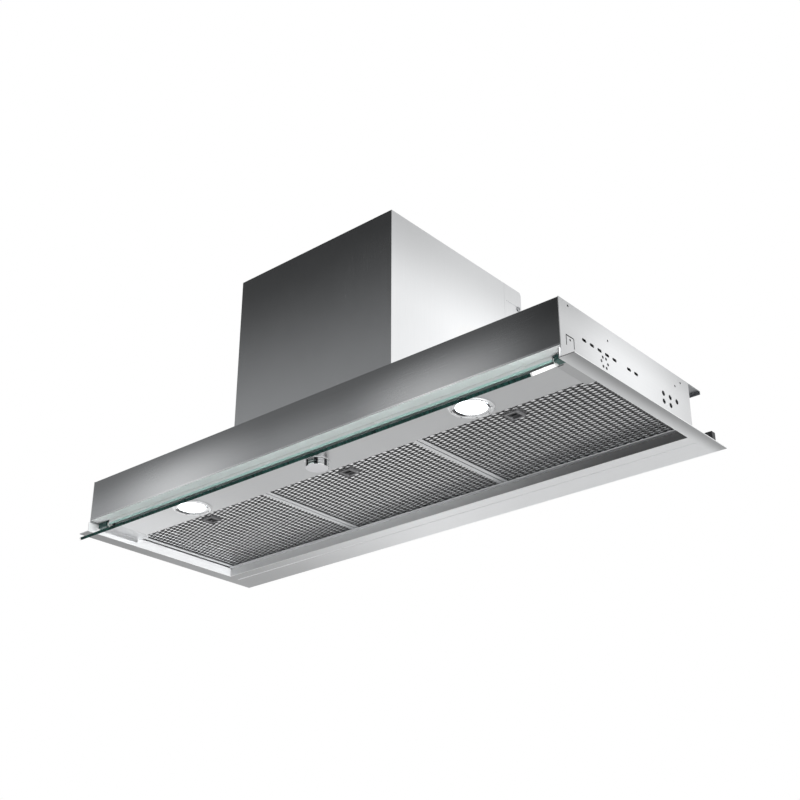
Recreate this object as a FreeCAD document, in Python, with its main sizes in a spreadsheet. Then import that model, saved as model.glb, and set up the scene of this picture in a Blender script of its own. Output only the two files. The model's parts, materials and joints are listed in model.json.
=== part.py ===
import FreeCAD, Part
import os
import re
import Sketcher

# Built-in cooker hood for the underside of a 900 mm wall cabinet, with a tilting glass visor.
# Millimetres.  X runs along the hood, +Y goes from the front panel to the wall, +Z is up.
# The origin is the middle of the front panel's face, on the plane of the flange's underside.

DIMENSIONS = {
    # bottom frame, the visible flange under the cabinet
    "flange_side": 19.0,
    "flange_rear": 52.0,
    "flange_front": 3.0,
    "flange_sheet": 1.2,
    "opening_side_inset": 2.5,
    "opening_rear_inset": 10.0,
    "upstand": 13.0,
    "joggle_from_opening": 18.0,
    "joggle_width": 3.0,
    "joggle_depth": 0.5,
    # casing
    "body_width": 859.0,
    "body_depth": 295.0,
    "body_top": 81.0,
    "sheet": 1.0,
    "panel_bottom": 18.0,
    "return_depth": 16.7,
    "lip": 12.0,
    "rail_depth": 32.0,
    "rail_lip": 5.0,
    "rail_leg": 21.0,
    # lamp panel
    "lamp_panel_z": 12.0,
    "lamp_panel_front": 25.0,
    "lamp_panel_rear": 86.5,
    "lamp_panel_lip": 10.0,
    "cheek_width": 27.0,
    "cheek_front": 26.0,
    "cheek_rear": 94.5,
    "cheek_slot_length": 8.5,
    "cheek_slot_width": 2.0,
    "cheek_slot_y": 33.6,
    "cheek_lip": 6.0,
    "cheek_lip_rear": 89.0,
    # lamps
    "lamp_pitch": 518.0,
    "lamp_y": 54.5,
    "bezel_radius": 29.4,
    "bezel_drop": 2.2,
    "bezel_rim": 5.2,
    "lens_thick": 2.5,
    "lamp_hole_gap": 1.4,
    "sleeve_height": 10.0,
    "lamp_can_height": 18.0,
    # rotary control
    "knob_y": 50.0,
    "knob_radius": 16.0,
    "knob_height": 9.1,
    "collar_height": 1.2,
    "knob_gap": 0.3,
    "spindle_radius": 3.0,
    "spindle_length": 14.0,
    "switch_width": 26.0,
    "switch_height": 20.0,
    # glass visor and its hinge
    "visor_cap": 2.5,
    "visor_glass": 4.2,
    "visor_tilt": 32.5,
    "visor_axis_y": 20.4,
    "visor_axis_z": 12.8,
    "visor_axis_drop": 2.6,
    "visor_front_reach": 61.7,
    "visor_rear_reach": 1.5,
    "visor_boss_radius": 3.5,
    "visor_pin_radius": 2.0,
    "visor_pin_length": 14.0,
    "hinge_width": 18.0,
    "hinge_depth": 11.4,
    "hinge_bottom": 8.5,
    "hinge_top": 16.5,
    "strip_end_gap": 1.2,
    "strip_thick": 3.0,
    "strip_bottom": 11.4,
    # grease filters
    "filter_side_gap": 4.0,
    "filter_clearance": 0.75,
    "filter_height": 9.0,
    "filter_border": 6.5,
    "filter_end_border": 3.2,
    "filter_lip": 1.0,
    "filter_groove": 1.5,
    "ledge_depth": 7.0,
    "ledge_height": 13.0,
    "latch_from_front": 15.0,
    "latch_width": 21.0,
    "latch_rim": 3.0,
    "latch_travel": 5.0,
    "tongue_width": 10.0,
    "tongue_thick": 1.6,
    # motor tower
    "tower_width": 298.0,
    "tower_front": 30.0,
    "tower_overhang": 35.0,
    "rear_cover_depth": 43.0,
    "tower_height": 258.5,
    "tower_round": 5.0,
    "air_hole_width": 270.0,
    "air_hole_front": 45.0,
    "air_hole_inset": 13.0,
    # air outlet
    "spigot_radius": 75.0,
    "spigot_wall": 1.5,
    "spigot_height": 50.0,
    "spigot_flange": 88.0,
    "flap_level": 30.0,
    "flap_thick": 1.0,
    "flap_clearance": 1.0,
    "flap_rod_radius": 1.5,
    "knuckle_radius": 3.0,
    "knuckle_clearance": 0.5,
    "stop_ledge": 2.5,
    # blower
    "blower_width": 150.0,
    "blower_radius": 98.0,
    "blower_wall": 2.0,
    "blower_drop": 144.5,
    "outlet_depth": 140.0,
    "inlet_radius": 70.0,
    "wheel_radius": 88.0,
    "wheel_width": 120.0,
    "wheel_ring": 12.0,
    "blade_count": 30.0,
    "blade_thick": 1.2,
    "hub_thick": 3.0,
    "shaft_radius": 4.0,
    "shaft_clearance": 0.05,
    "motor_radius": 40.0,
    "motor_gap": 6.0,
    "bracket_thick": 3.0,
    "bracket_arm": 12.0,
    "bracket_ring": 84.0,
    # electrics
    "box_width": 60.0,
    "box_depth": 35.0,
    "box_height": 110.0,
    "box_beside_blower": 7.0,
    "box_above_body": 20.0,
    "capacitor_radius": 17.5,
    "capacitor_length": 70.0,
    "driver_length": 100.0,
    "driver_width": 28.0,
    "driver_height": 20.0,
    "gland_radius": 11.0,
    "gland_neck": 8.0,
    "gland_bore": 4.0,
    "gland_length": 14.0,
    # openings punched in the side walls
    "slot_first": 49.5,
    "slot_step": 16.2,
    "slot_level": 43.0,
    "slot_length": 9.0,
    "slot_width": 4.0,
    "fixing_hole_radius": 3.5,
    "fixing_first": 227.0,
    "fixing_step": 16.5,
    "fixing_level": 41.0,
    "fixing_drop": 11.0,
    "pilot_radius": 1.5,
    "lance_first": 11.0,
    "lance_last": 28.0,
    "lance_low": 22.0,
    "lance_high": 36.0,
    "lance_gap": 1.4,
    "lance_hole_level": 31.0,
    "rosette_y": 91.5,
    "rosette_level": 30.5,
    "rosette_radius": 7.0,
    "rosette_hole": 2.0,
    # loose hardware
    "seat_gap": 0.3,
    "clip_length": 18.0,
    "clip_height": 13.5,
    "clip_peg": 9.0,
    "clip_from_rear": 24.0,
    "clip_width": 12.0,
    "screw_head_radius": 4.0,
    "screw_head_height": 2.2,
}

DAMPER_KNUCKLES = {"front": [(-62, -32), (32, 62)], "rear": [(-28, 28)]}
SLOT_PLACES = (0, 1, 2, 3, 4, 6, 7)
ROSETTE_COUNT = 6
PILOT_HOLES = ((19, 5), (102, 17), (259, 18), (274, 8))

doc = FreeCAD.newDocument("built_in_hood")
sheet = doc.addObject("Spreadsheet::Sheet", "dims")
for row, (alias, value) in enumerate(DIMENSIONS.items(), start=1):
    sheet.set(f"A{row}", alias)
    sheet.set(f"B{row}", str(value))
    sheet.setAlias(f"B{row}", alias)
doc.recompute()

PARTS = []


# ---------------------------------------------------------------- expressions
def bound(text):
    """Turn plain dimension names into references to the spreadsheet's cells."""
    def cell(match):
        word = match.group()
        return "dims." + word if word in DIMENSIONS else word
    return re.sub(r"[a-z_]+", cell, str(text))


def value(text):
    """The present number behind an expression."""
    result = sheet.evalExpression(bound(text).replace("dims.", ""))
    return float(getattr(result, "Value", result))


def minus(low, high):
    return f"({high}) - ({low})"


def mirrored(low, high, side):
    """A span along X on the right (side 1), or its mirror on the left (side -1)."""
    return (low, high) if side > 0 else (f"-({high})", f"-({low})")


def place(thing, x="0", y="0", z="0"):
    for axis, text in zip("xyz", (x, y, z)):
        thing.setExpression(f"Placement.Base.{axis}", bound(text))


def keep(thing, label):
    thing.Label = label
    PARTS.append(thing)
    return thing


# ---------------------------------------------------------------- solids
def box(x, y, z):
    """A block between pairs of expressions along each axis."""
    block = doc.addObject("Part::Box", "block")
    for name, (low, high) in zip(("Length", "Width", "Height"), (x, y, z)):
        block.setExpression(name, bound(minus(low, high)))
    place(block, x[0], y[0], z[0])
    return block


TURNS = {
    "x": FreeCAD.Rotation(FreeCAD.Vector(0, 1, 0), 90),
    "y": FreeCAD.Rotation(FreeCAD.Vector(1, 0, 0), -90),
    "z": FreeCAD.Rotation(),
}


def rod(axis, radius, start, length, across):
    """A cylinder along an axis from start; across gives the other two coordinates in order."""
    bar = doc.addObject("Part::Cylinder", "rod")
    bar.setExpression("Radius", bound(radius))
    bar.setExpression("Height", bound(length))
    bar.Placement = FreeCAD.Placement(FreeCAD.Vector(), TURNS[axis])
    centre = list(across)
    centre.insert("xyz".index(axis), start)
    place(bar, *centre)
    return bar


def fused(shapes):
    joined = doc.addObject("Part::MultiFuse", "joined")
    joined.Shapes = shapes
    joined.Refine = True
    return joined


def cut(base, tools):
    tool = tools[0] if len(tools) == 1 else fused(tools)
    result = doc.addObject("Part::Cut", "cut")
    result.Base = base
    result.Tool = tool
    return result


def group(shapes):
    together = doc.addObject("Part::Compound", "group")
    together.Links = shapes
    return together


# ---------------------------------------------------------------- sketched bodies
def new_body(label, kept=True):
    body = doc.addObject("PartDesign::Body", label)
    return keep(body, label) if kept else body


def plane_of(body, role):
    return next(item for item in body.Origin.OriginFeatures if item.Role == role)


def new_sketch(body, role, offset="0"):
    sketch = body.newObject("Sketcher::SketchObject", "outline")
    sketch.AttachmentSupport = [(plane_of(body, role), "")]
    sketch.MapMode = "FlatFace"
    sketch.setExpression("AttachmentOffset.Base.z", bound(offset))
    return sketch


def hold(sketch, kind, index, point, text):
    number = sketch.addConstraint(Sketcher.Constraint(kind, -1, 1, index, point, value(text)))
    sketch.setExpression(f"Constraints[{number}]", bound(text))


def polygon(sketch, corners):
    """A closed outline whose every corner is held by two expressions."""
    spots = [FreeCAD.Vector(value(u), value(v), 0) for u, v in corners]
    first = sketch.GeometryCount
    for number, spot in enumerate(spots):
        sketch.addGeometry(Part.LineSegment(spot, spots[(number + 1) % len(spots)]))
    for number, (u, v) in enumerate(corners):
        line = first + number
        following = first + (number + 1) % len(spots)
        sketch.addConstraint(Sketcher.Constraint("Coincident", line, 2, following, 1))
        hold(sketch, "DistanceX", line, 1, u)
        hold(sketch, "DistanceY", line, 1, v)


def rectangle(sketch, u, v):
    polygon(sketch, [(u[0], v[0]), (u[1], v[0]), (u[1], v[1]), (u[0], v[1])])


def circle(sketch, u, v, radius):
    centre = FreeCAD.Vector(value(u), value(v), 0)
    ring = sketch.addGeometry(Part.Circle(centre, FreeCAD.Vector(0, 0, 1), value(radius)))
    hold(sketch, "DistanceX", ring, 3, u)
    hold(sketch, "DistanceY", ring, 3, v)
    number = sketch.addConstraint(Sketcher.Constraint("Radius", ring, value(radius)))
    sketch.setExpression(f"Constraints[{number}]", bound(radius))


def slot(sketch, u, v, length, width):
    """A slot along the sketch's first axis, with round ends."""
    reach = f"(({length}) - ({width})) / 2"
    circle_ends = []
    for sign, start in ((-1, 0.5), (1, 1.5)):
        centre = FreeCAD.Vector(value(u) + sign * value(reach), value(v), 0)
        ring = Part.Circle(centre, FreeCAD.Vector(0, 0, 1), value(width) / 2)
        half_turn = 3.141592653589793
        arc = Part.ArcOfCircle(ring, start * half_turn, (start + 1) * half_turn)
        index = sketch.addGeometry(arc)
        hold(sketch, "DistanceX", index, 3, f"({u}) + {sign} * {reach}")
        hold(sketch, "DistanceY", index, 3, v)
        circle_ends.append(index)
    left, right = circle_ends
    for left_end, right_end in ((1, 2), (2, 1)):
        ends = (sketch.getPoint(left, left_end), sketch.getPoint(right, right_end))
        side = sketch.addGeometry(Part.LineSegment(*ends))
        sketch.addConstraint(Sketcher.Constraint("Tangent", side, 1, left, left_end))
        sketch.addConstraint(Sketcher.Constraint("Tangent", side, 2, right, right_end))
    number = sketch.addConstraint(Sketcher.Constraint("Radius", left, value(width) / 2))
    sketch.setExpression(f"Constraints[{number}]", bound(f"({width}) / 2"))


def pad(body, sketch, length, midplane=False):
    feature = body.newObject("PartDesign::Pad", "pad")
    feature.Profile = sketch
    feature.setExpression("Length", bound(length))
    feature.Midplane = midplane
    doc.recompute()
    return feature


def pocket(body, sketch, length, midplane=False, flipped=False):
    """Remove the sketch's outline; it must take material away."""
    before = body.Shape.Volume
    feature = body.newObject("PartDesign::Pocket", "pocket")
    feature.Profile = sketch
    feature.setExpression("Length", bound(length))
    feature.Midplane = midplane
    feature.Reversed = flipped
    doc.recompute()
    if not body.Shape.Volume < before - 1e-6:
        raise SystemExit(f"a pocket in {body.Label} cuts nothing")
    return feature


def turned(label, profile, x="0", y="0", z="0", kept=True):
    """A body of revolution about its own upright axis: profile holds radius and height pairs."""
    body = new_body(label, kept)
    sketch = new_sketch(body, "XZ_Plane")
    polygon(sketch, profile)
    feature = body.newObject("PartDesign::Revolution", "turn")
    feature.Profile = sketch
    feature.ReferenceAxis = (sketch, ["V_Axis"])
    feature.Angle = 360
    place(body, x, y, z)
    doc.recompute()
    return body


# ---------------------------------------------------------------- casing
HALF_BODY = "(body_width / 2)"
INNER_BODY = f"({HALF_BODY} - sheet)"
HALF_FLANGE = f"({HALF_BODY} + flange_side)"
HALF_OPENING = f"({HALF_BODY} - opening_side_inset)"
OPENING_REAR = "(body_depth - opening_rear_inset)"
FLANGE_REAR = "(body_depth + flange_rear)"
BODY_UNDER = "(body_top - sheet)"


def bottom_frame():
    body = new_body("bottom_frame")
    flange = new_sketch(body, "XY_Plane")
    outer, inner = HALF_FLANGE, HALF_OPENING
    polygon(flange, [
        (f"-({outer})", "-flange_front"), (f"-{inner}", "-flange_front"),
        (f"-{inner}", OPENING_REAR), (inner, OPENING_REAR),
        (inner, "-flange_front"), (outer, "-flange_front"),
        (outer, FLANGE_REAR), (f"-({outer})", FLANGE_REAR)])
    pad(body, flange, "flange_sheet")
    walls = new_sketch(body, "XY_Plane", "flange_sheet")
    back = f"{OPENING_REAR} + flange_sheet"
    wall = f"{inner} + flange_sheet"
    polygon(walls, [
        (f"-({wall})", "-flange_front"), (f"-{inner}", "-flange_front"),
        (f"-{inner}", OPENING_REAR), (inner, OPENING_REAR),
        (inner, "-flange_front"), (wall, "-flange_front"), (wall, back), (f"-({wall})", back)])
    pad(body, walls, "upstand")
    joggle = new_sketch(body, "XY_Plane")
    start = f"{OPENING_REAR} + joggle_from_opening"
    rectangle(joggle, (f"-{HALF_BODY}", HALF_BODY), (start, f"{start} + joggle_width"))
    pocket(body, joggle, "joggle_depth", flipped=True)


def front_panel():
    body = new_body("front_panel")
    profile = new_sketch(body, "YZ_Plane")
    low, top = "panel_bottom", "body_top"
    polygon(profile, [
        ("0", low), ("0", top), ("lip", top), ("lip", f"{top} - sheet"),
        ("sheet", f"{top} - sheet"), ("sheet", f"{low} + sheet"),
        ("return_depth", f"{low} + sheet"), ("return_depth", low)])
    pad(body, profile, f"2 * {INNER_BODY}", midplane=True)


def side_wall(name, side):
    body = new_body(name)
    outer = new_sketch(body, "YZ_Plane", INNER_BODY if side > 0 else f"-{HALF_BODY}")
    rectangle(outer, ("0", "body_depth"), ("flange_sheet", "body_top"))
    pad(body, outer, "sheet")
    lip_start = f"{INNER_BODY} - lip" if side > 0 else f"-{INNER_BODY}"
    inward = new_sketch(body, "YZ_Plane", lip_start)
    under = BODY_UNDER
    rectangle(inward, ("lip + sheet", "body_depth - 2 * sheet"), (f"{under} - sheet", under))
    pad(body, inward, "lip")
    punched = new_sketch(body, "YZ_Plane", f"{side} * {HALF_BODY}")
    for number in SLOT_PLACES:
        slot(punched, f"slot_first + {number} * slot_step", "slot_level", "slot_length", "slot_width")
    for number in (0, 1, 2):
        along = f"fixing_first + {number} * fixing_step"
        circle(punched, along, "fixing_level", "fixing_hole_radius")
    for number in (0, 1):
        along = f"fixing_first + {number} * fixing_step"
        circle(punched, along, "fixing_level - fixing_drop", "fixing_hole_radius")
    for along, down in PILOT_HOLES:
        circle(punched, str(along), f"body_top - {down}", "pilot_radius")
    near, far, low, high, gap = "lance_first", "lance_last", "lance_low", "lance_high", "lance_gap"
    polygon(punched, [
        (near, low), (near, high), (far, high), (far, low), (f"{far} - {gap}", low),
        (f"{far} - {gap}", f"{high} - {gap}"), (f"{near} + {gap}", f"{high} - {gap}"),
        (f"{near} + {gap}", low)])
    circle(punched, f"({near} + {far}) / 2", "lance_hole_level", "pilot_radius")
    for number in range(ROSETTE_COUNT):
        turn = f"{number} * 360 / {ROSETTE_COUNT}"
        circle(punched, f"rosette_y + rosette_radius * cos({turn})",
               f"rosette_level + rosette_radius * sin({turn})", "rosette_hole")
    pocket(body, punched, "2 * sheet", flipped=side < 0)


def top_plate():
    body = new_body("top_plate")
    outline = new_sketch(body, "XY_Plane", BODY_UNDER)
    rectangle(outline, (f"-{INNER_BODY}", INNER_BODY), ("lip", "body_depth - sheet"))
    half_hole = "air_hole_width / 2"
    rectangle(outline, (f"-({half_hole})", half_hole), ("air_hole_front", "body_depth - air_hole_inset"))
    pad(body, outline, "sheet")


def rear_wall():
    x = (f"-{INNER_BODY}", INNER_BODY)
    y = ("body_depth - sheet", "body_depth")
    keep(box(x, y, ("flange_sheet", "body_top")), "rear_wall")


def rear_rail():
    body = new_body("rear_rail")
    profile = new_sketch(body, "YZ_Plane")
    near, far, top = "body_depth", "(body_depth + rail_depth)", "body_top"
    polygon(profile, [
        (near, top), (far, top), (far, f"{top} - rail_lip"), (f"{far} - sheet", f"{top} - rail_lip"),
        (f"{far} - sheet", f"{top} - sheet"), (f"{near} + sheet", f"{top} - sheet"),
        (f"{near} + sheet", f"{top} - rail_leg"), (near, f"{top} - rail_leg")])
    pad(body, profile, "body_width", midplane=True)


# ---------------------------------------------------------------- lamp panel
PANEL_TOP = "(lamp_panel_z + sheet)"
HALF_PANEL = f"({HALF_OPENING} - cheek_width)"
LENS_RADIUS = "(bezel_radius - bezel_rim)"
LAMP_HOLE = f"({LENS_RADIUS} + lamp_hole_gap)"


def lamp_panel():
    body = new_body("lamp_panel")
    half = HALF_PANEL
    outline = new_sketch(body, "XY_Plane", "lamp_panel_z")
    rectangle(outline, (f"-({half})", half), ("lamp_panel_front", "lamp_panel_rear"))
    for side in (-1, 1):
        circle(outline, f"{side} * lamp_pitch / 2", "lamp_y", LAMP_HOLE)
    circle(outline, "0", "knob_y", "spindle_radius + 1")
    pad(body, outline, "sheet")
    lips = new_sketch(body, "XY_Plane", PANEL_TOP)
    rectangle(lips, (f"-({half})", half), ("lamp_panel_front", "lamp_panel_front + sheet"))
    rectangle(lips, (f"-({half})", half), ("lamp_panel_rear - sheet", "lamp_panel_rear"))
    pad(body, lips, "lamp_panel_lip")


def panel_cheek(name, side):
    """The end piece between the lamp panel and the side, with a small slot beside the panel."""
    inner, outer = HALF_PANEL, HALF_OPENING
    level = ("lamp_panel_z", PANEL_TOP)
    plate = box(mirrored(inner, outer, side), ("cheek_front", "cheek_rear"), level)
    hanger = box(mirrored(f"{outer} - sheet", outer, side), ("cheek_front", "cheek_rear"),
                 ("lamp_panel_z", f"{BODY_UNDER} - sheet"))
    drop = box(mirrored(f"{outer} - sheet", outer, side), ("cheek_front", "cheek_lip_rear"),
               ("lamp_panel_z - cheek_lip", "lamp_panel_z"))
    slot_y = ("cheek_slot_y - cheek_slot_width / 2", "cheek_slot_y + cheek_slot_width / 2")
    gap = box(mirrored(f"{inner} + 1", f"{inner} + 1 + cheek_slot_length", side), slot_y,
              ("lamp_panel_z - 1", f"{PANEL_TOP} + 1"))
    keep(cut(fused([plate, hanger, drop]), [gap]), name)


def lamp(side_name, side):
    x = f"{side} * lamp_pitch / 2"
    low = "lamp_panel_z - bezel_drop"
    neck = f"{LAMP_HOLE} - seat_gap"
    top = f"{PANEL_TOP} + sleeve_height"
    turned(f"lamp_bezel_{side_name}", [
        (LENS_RADIUS, low), ("bezel_radius - 2", low), ("bezel_radius", f"{low} + 1.4"),
        ("bezel_radius", "lamp_panel_z"), (neck, "lamp_panel_z"), (neck, top),
        (LENS_RADIUS, top)], x, "lamp_y")
    lens_low = f"{low} + 0.6"
    lens_top = f"{lens_low} + lens_thick"
    turned(f"lamp_lens_{side_name}", [
        ("0", lens_low), (LENS_RADIUS, lens_low), (LENS_RADIUS, lens_top), ("0", lens_top)],
        x, "lamp_y")
    can_top = f"{lens_top} + lamp_can_height"
    turned(f"lamp_can_{side_name}", [
        ("0", lens_top), (LENS_RADIUS, lens_top), (LENS_RADIUS, top), (neck, top),
        (neck, f"{top} + 2"), (f"{LENS_RADIUS} - 2", f"{top} + 2"), (f"{LENS_RADIUS} - 2", can_top),
        ("0", can_top)], x, "lamp_y")


def rotary_control():
    collar_low = "lamp_panel_z - collar_height"
    turned("switch_collar", [
        ("spindle_radius + 1", collar_low), ("knob_radius + 0.8", collar_low),
        ("knob_radius + 1.2", "lamp_panel_z"), ("spindle_radius + 1", "lamp_panel_z")],
        "0", "knob_y")
    face = f"{collar_low} - knob_gap - knob_height"
    back = f"{collar_low} - knob_gap"
    turned("control_knob", [
        ("0", face), ("knob_radius - 0.8", face), ("knob_radius", f"{face} + 0.8"),
        ("knob_radius", back), ("spindle_radius", back),
        ("spindle_radius", f"{PANEL_TOP} + spindle_length"), ("0", f"{PANEL_TOP} + spindle_length")],
        "0", "knob_y")
    half = "switch_width / 2"
    housing = box((f"-({half})", half), (f"knob_y - {half}", f"knob_y + {half}"),
                  (PANEL_TOP, f"{PANEL_TOP} + switch_height"))
    bush = rod("z", "spindle_radius + shaft_clearance", "lamp_panel_z",
               "sheet + spindle_length + 0.5", ("0", "knob_y"))
    keep(cut(housing, [bush]), "rotary_switch")


# ---------------------------------------------------------------- visor
HALF_VISOR = f"({HALF_OPENING} - hinge_width - seat_gap)"


def visor_point(along, below):
    """A point of the tilted visor: along the glass from its axis, and below that axis."""
    y = f"visor_axis_y + ({along}) * cos(visor_tilt) + ({below}) * sin(visor_tilt)"
    z = f"visor_axis_z + ({along}) * sin(visor_tilt) - ({below}) * cos(visor_tilt)"
    return y, z


def visor_outline(sketch):
    front, rear = "-visor_front_reach", "visor_rear_reach"
    top, bottom = "visor_axis_drop", "visor_axis_drop + visor_glass"
    polygon(sketch, [visor_point(front, top), visor_point(rear, top),
                     visor_point(rear, bottom), visor_point(front, bottom)])


def visor():
    glass = new_body("visor_glass")
    outline = new_sketch(glass, "YZ_Plane")
    visor_outline(outline)
    pad(glass, outline, f"2 * ({HALF_VISOR} - visor_cap)", midplane=True)
    for name, side in (("left", -1), ("right", 1)):
        cap = new_body(f"visor_end_{name}")
        inner = f"{HALF_VISOR} - visor_cap"
        start = inner if side > 0 else f"-{HALF_VISOR}"
        plate = new_sketch(cap, "YZ_Plane", start)
        visor_outline(plate)
        pad(cap, plate, "visor_cap")
        boss = new_sketch(cap, "YZ_Plane", start)
        circle(boss, "visor_axis_y", "visor_axis_z", "visor_boss_radius")
        pad(cap, boss, "visor_cap")
        pin_start = HALF_VISOR if side > 0 else f"-{HALF_VISOR} - visor_pin_length"
        pin = new_sketch(cap, "YZ_Plane", pin_start)
        circle(pin, "visor_axis_y", "visor_axis_z", "visor_pin_radius")
        pad(cap, pin, "visor_pin_length")


def visor_hinge(name, side):
    """A dark block on the frame's upstand, bored for the visor's pin."""
    inner, outer = f"{HALF_VISOR} + seat_gap", HALF_OPENING
    rear = "cheek_front - 0.1"
    block = box(mirrored(inner, outer, side), (f"{rear} - hinge_depth", rear),
                ("hinge_bottom", "hinge_top"))
    start = f"{inner} - 1" if side > 0 else f"-({inner} + visor_pin_length + 1)"
    bore = rod("x", "visor_pin_radius + shaft_clearance", start, "visor_pin_length + 2",
               ("visor_axis_y", "visor_axis_z"))
    keep(cut(block, [bore]), name)


def glass_strip():
    half = f"({HALF_VISOR} - visor_cap - strip_end_gap)"
    x = (f"-{half}", half)
    front = "return_depth - strip_thick + 0.2"
    inner = box(x, ("return_depth", "return_depth + strip_thick"),
                ("strip_bottom", "panel_bottom + sheet"))
    hook = box(x, (front, "return_depth"), ("panel_bottom + sheet", "panel_bottom + 2 * sheet"))
    cap = box(x, ("return_depth", "return_depth + strip_thick"),
              ("panel_bottom + sheet", "panel_bottom + 2 * sheet"))
    keep(fused([inner, hook, cap]), "upper_glass_strip")


# ---------------------------------------------------------------- filters
FILTER_PITCH = f"(({HALF_OPENING} - filter_side_gap) * 2 / 3)"
FILTER_FRONT = "(lamp_panel_rear + filter_clearance)"
FILTER_REAR = f"({OPENING_REAR} - sheet - filter_clearance)"
FILTER_LOW = "(ledge_height + sheet + seat_gap)"
FILTER_TOP = f"({FILTER_LOW} + filter_height)"
LATCH_Y = f"({FILTER_FRONT} + latch_from_front)"


def filter_ledge():
    body = new_body("filter_ledge")
    profile = new_sketch(body, "YZ_Plane")
    wall, low = OPENING_REAR, "ledge_height"
    polygon(profile, [
        (wall, low), (wall, f"{low} + lip"), (f"{wall} - sheet", f"{low} + lip"),
        (f"{wall} - sheet", f"{low} + sheet"), (f"{wall} - ledge_depth", f"{low} + sheet"),
        (f"{wall} - ledge_depth", low)])
    pad(body, profile, f"3 * {FILTER_PITCH}", midplane=True)


def grease_filter(name, place_number):
    centre = f"{place_number} * {FILTER_PITCH}"
    half = f"({FILTER_PITCH} / 2 - filter_clearance)"

    def span(inset):
        return (f"{centre} - {half} + {inset}", f"{centre} + {half} - {inset}")

    def depth(inset):
        return (f"{FILTER_FRONT} + {inset}", f"{FILTER_REAR} - {inset}")

    low, top = FILTER_LOW, FILTER_TOP
    core = (f"{low} + filter_lip", f"{top} - filter_lip")
    shell = box(span("0"), depth("0"), (low, top))
    window = box(span("filter_border"), depth("filter_end_border"), (f"{low} - 1", f"{top} + 1"))
    groove = box(span("filter_groove"), depth("filter_groove"), core)
    tongue_z = (f"{low} + filter_height / 2 - 1.3", f"{low} + filter_height / 2 + 1.3")
    tongue_x = (f"{centre} - tongue_width / 2 - 0.5", f"{centre} + tongue_width / 2 + 0.5")
    gate = box(tongue_x, (f"{FILTER_FRONT} - 1", f"{FILTER_FRONT} + filter_border + 1"), tongue_z)
    keep(cut(shell, [window, groove, gate]), f"filter_frame_{name}")

    latch_x = (f"{centre} - latch_width / 2", f"{centre} + latch_width / 2")
    latch_y = (LATCH_Y, f"{LATCH_Y} + latch_width")
    mesh = box(span("filter_groove"), depth("filter_groove"), core)
    well = box(latch_x, latch_y, (f"{low} - 1", f"{top} + 1"))
    lane = box(tongue_x, (f"{FILTER_FRONT} - 1", f"{LATCH_Y} + 1"), tongue_z)
    keep(cut(mesh, [well, lane]), f"filter_mesh_{name}")

    rim_block = box(latch_x, latch_y, (low, f"{top} - filter_lip"))
    rim = "latch_rim"
    hole = box((f"{latch_x[0]} + {rim}", f"{latch_x[1]} - {rim}"),
               (f"{latch_y[0]} + {rim}", f"{latch_y[1]} - {rim}"), (f"{low} - 1", f"{top} - 2.4"))
    keep(cut(rim_block, [hole, box(tongue_x, (f"{LATCH_Y} - 1", f"{LATCH_Y} + {rim} + 1"), tongue_z)]),
         f"latch_surround_{name}")

    side = "(latch_rim + 0.4)"
    slider = box((f"{latch_x[0]} + {side}", f"{latch_x[1]} - {side}"),
                 (f"{latch_y[0]} + {side}", f"{latch_y[1]} - {side} - latch_travel"),
                 (f"{low} + 0.6", f"{top} - 2.8"))
    middle = f"({low} + filter_height / 2)"
    tongue = box((f"{centre} - tongue_width / 2", f"{centre} + tongue_width / 2"),
                 (f"{FILTER_FRONT} - filter_clearance / 3", f"{latch_y[0]} + {side} + 2"),
                 (f"{middle} - tongue_thick / 2", f"{middle} + tongue_thick / 2"))
    grip = box((f"{centre} - 5", f"{centre} + 5"), (f"{latch_y[0]} + {side} + 3",
               f"{latch_y[1]} - {side} - latch_travel - 2"), (f"{low} - 1", f"{low} + 3"))
    keep(cut(fused([slider, tongue]), [grip]), f"filter_latch_{name}")


# ---------------------------------------------------------------- motor tower
HALF_TOWER = "(tower_width / 2)"
TOWER_TOP = "(body_top + tower_height)"
TOWER_UNDER = f"({TOWER_TOP} - sheet)"
TOWER_REAR = "(body_depth + tower_overhang)"
TOWER_SEAM = f"({TOWER_REAR} - rear_cover_depth)"
TOWER_MIDDLE = f"((tower_front + {TOWER_REAR}) / 2)"
GLAND_X = "(-tower_width / 3)"
GLAND_Z = f"({TOWER_TOP} - 40)"


def tower_front_cover():
    body = new_body("tower_front_cover")
    outline = new_sketch(body, "XY_Plane", "body_top")
    half, inner = HALF_TOWER, f"{HALF_TOWER} - sheet"
    polygon(outline, [
        (f"-{half}", "tower_front"), (half, "tower_front"), (half, TOWER_SEAM),
        (inner, TOWER_SEAM), (inner, "tower_front + sheet"),
        (f"-({inner})", "tower_front + sheet"), (f"-({inner})", TOWER_SEAM),
        (f"-{half}", TOWER_SEAM)])
    pad(body, outline, "tower_height")


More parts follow.
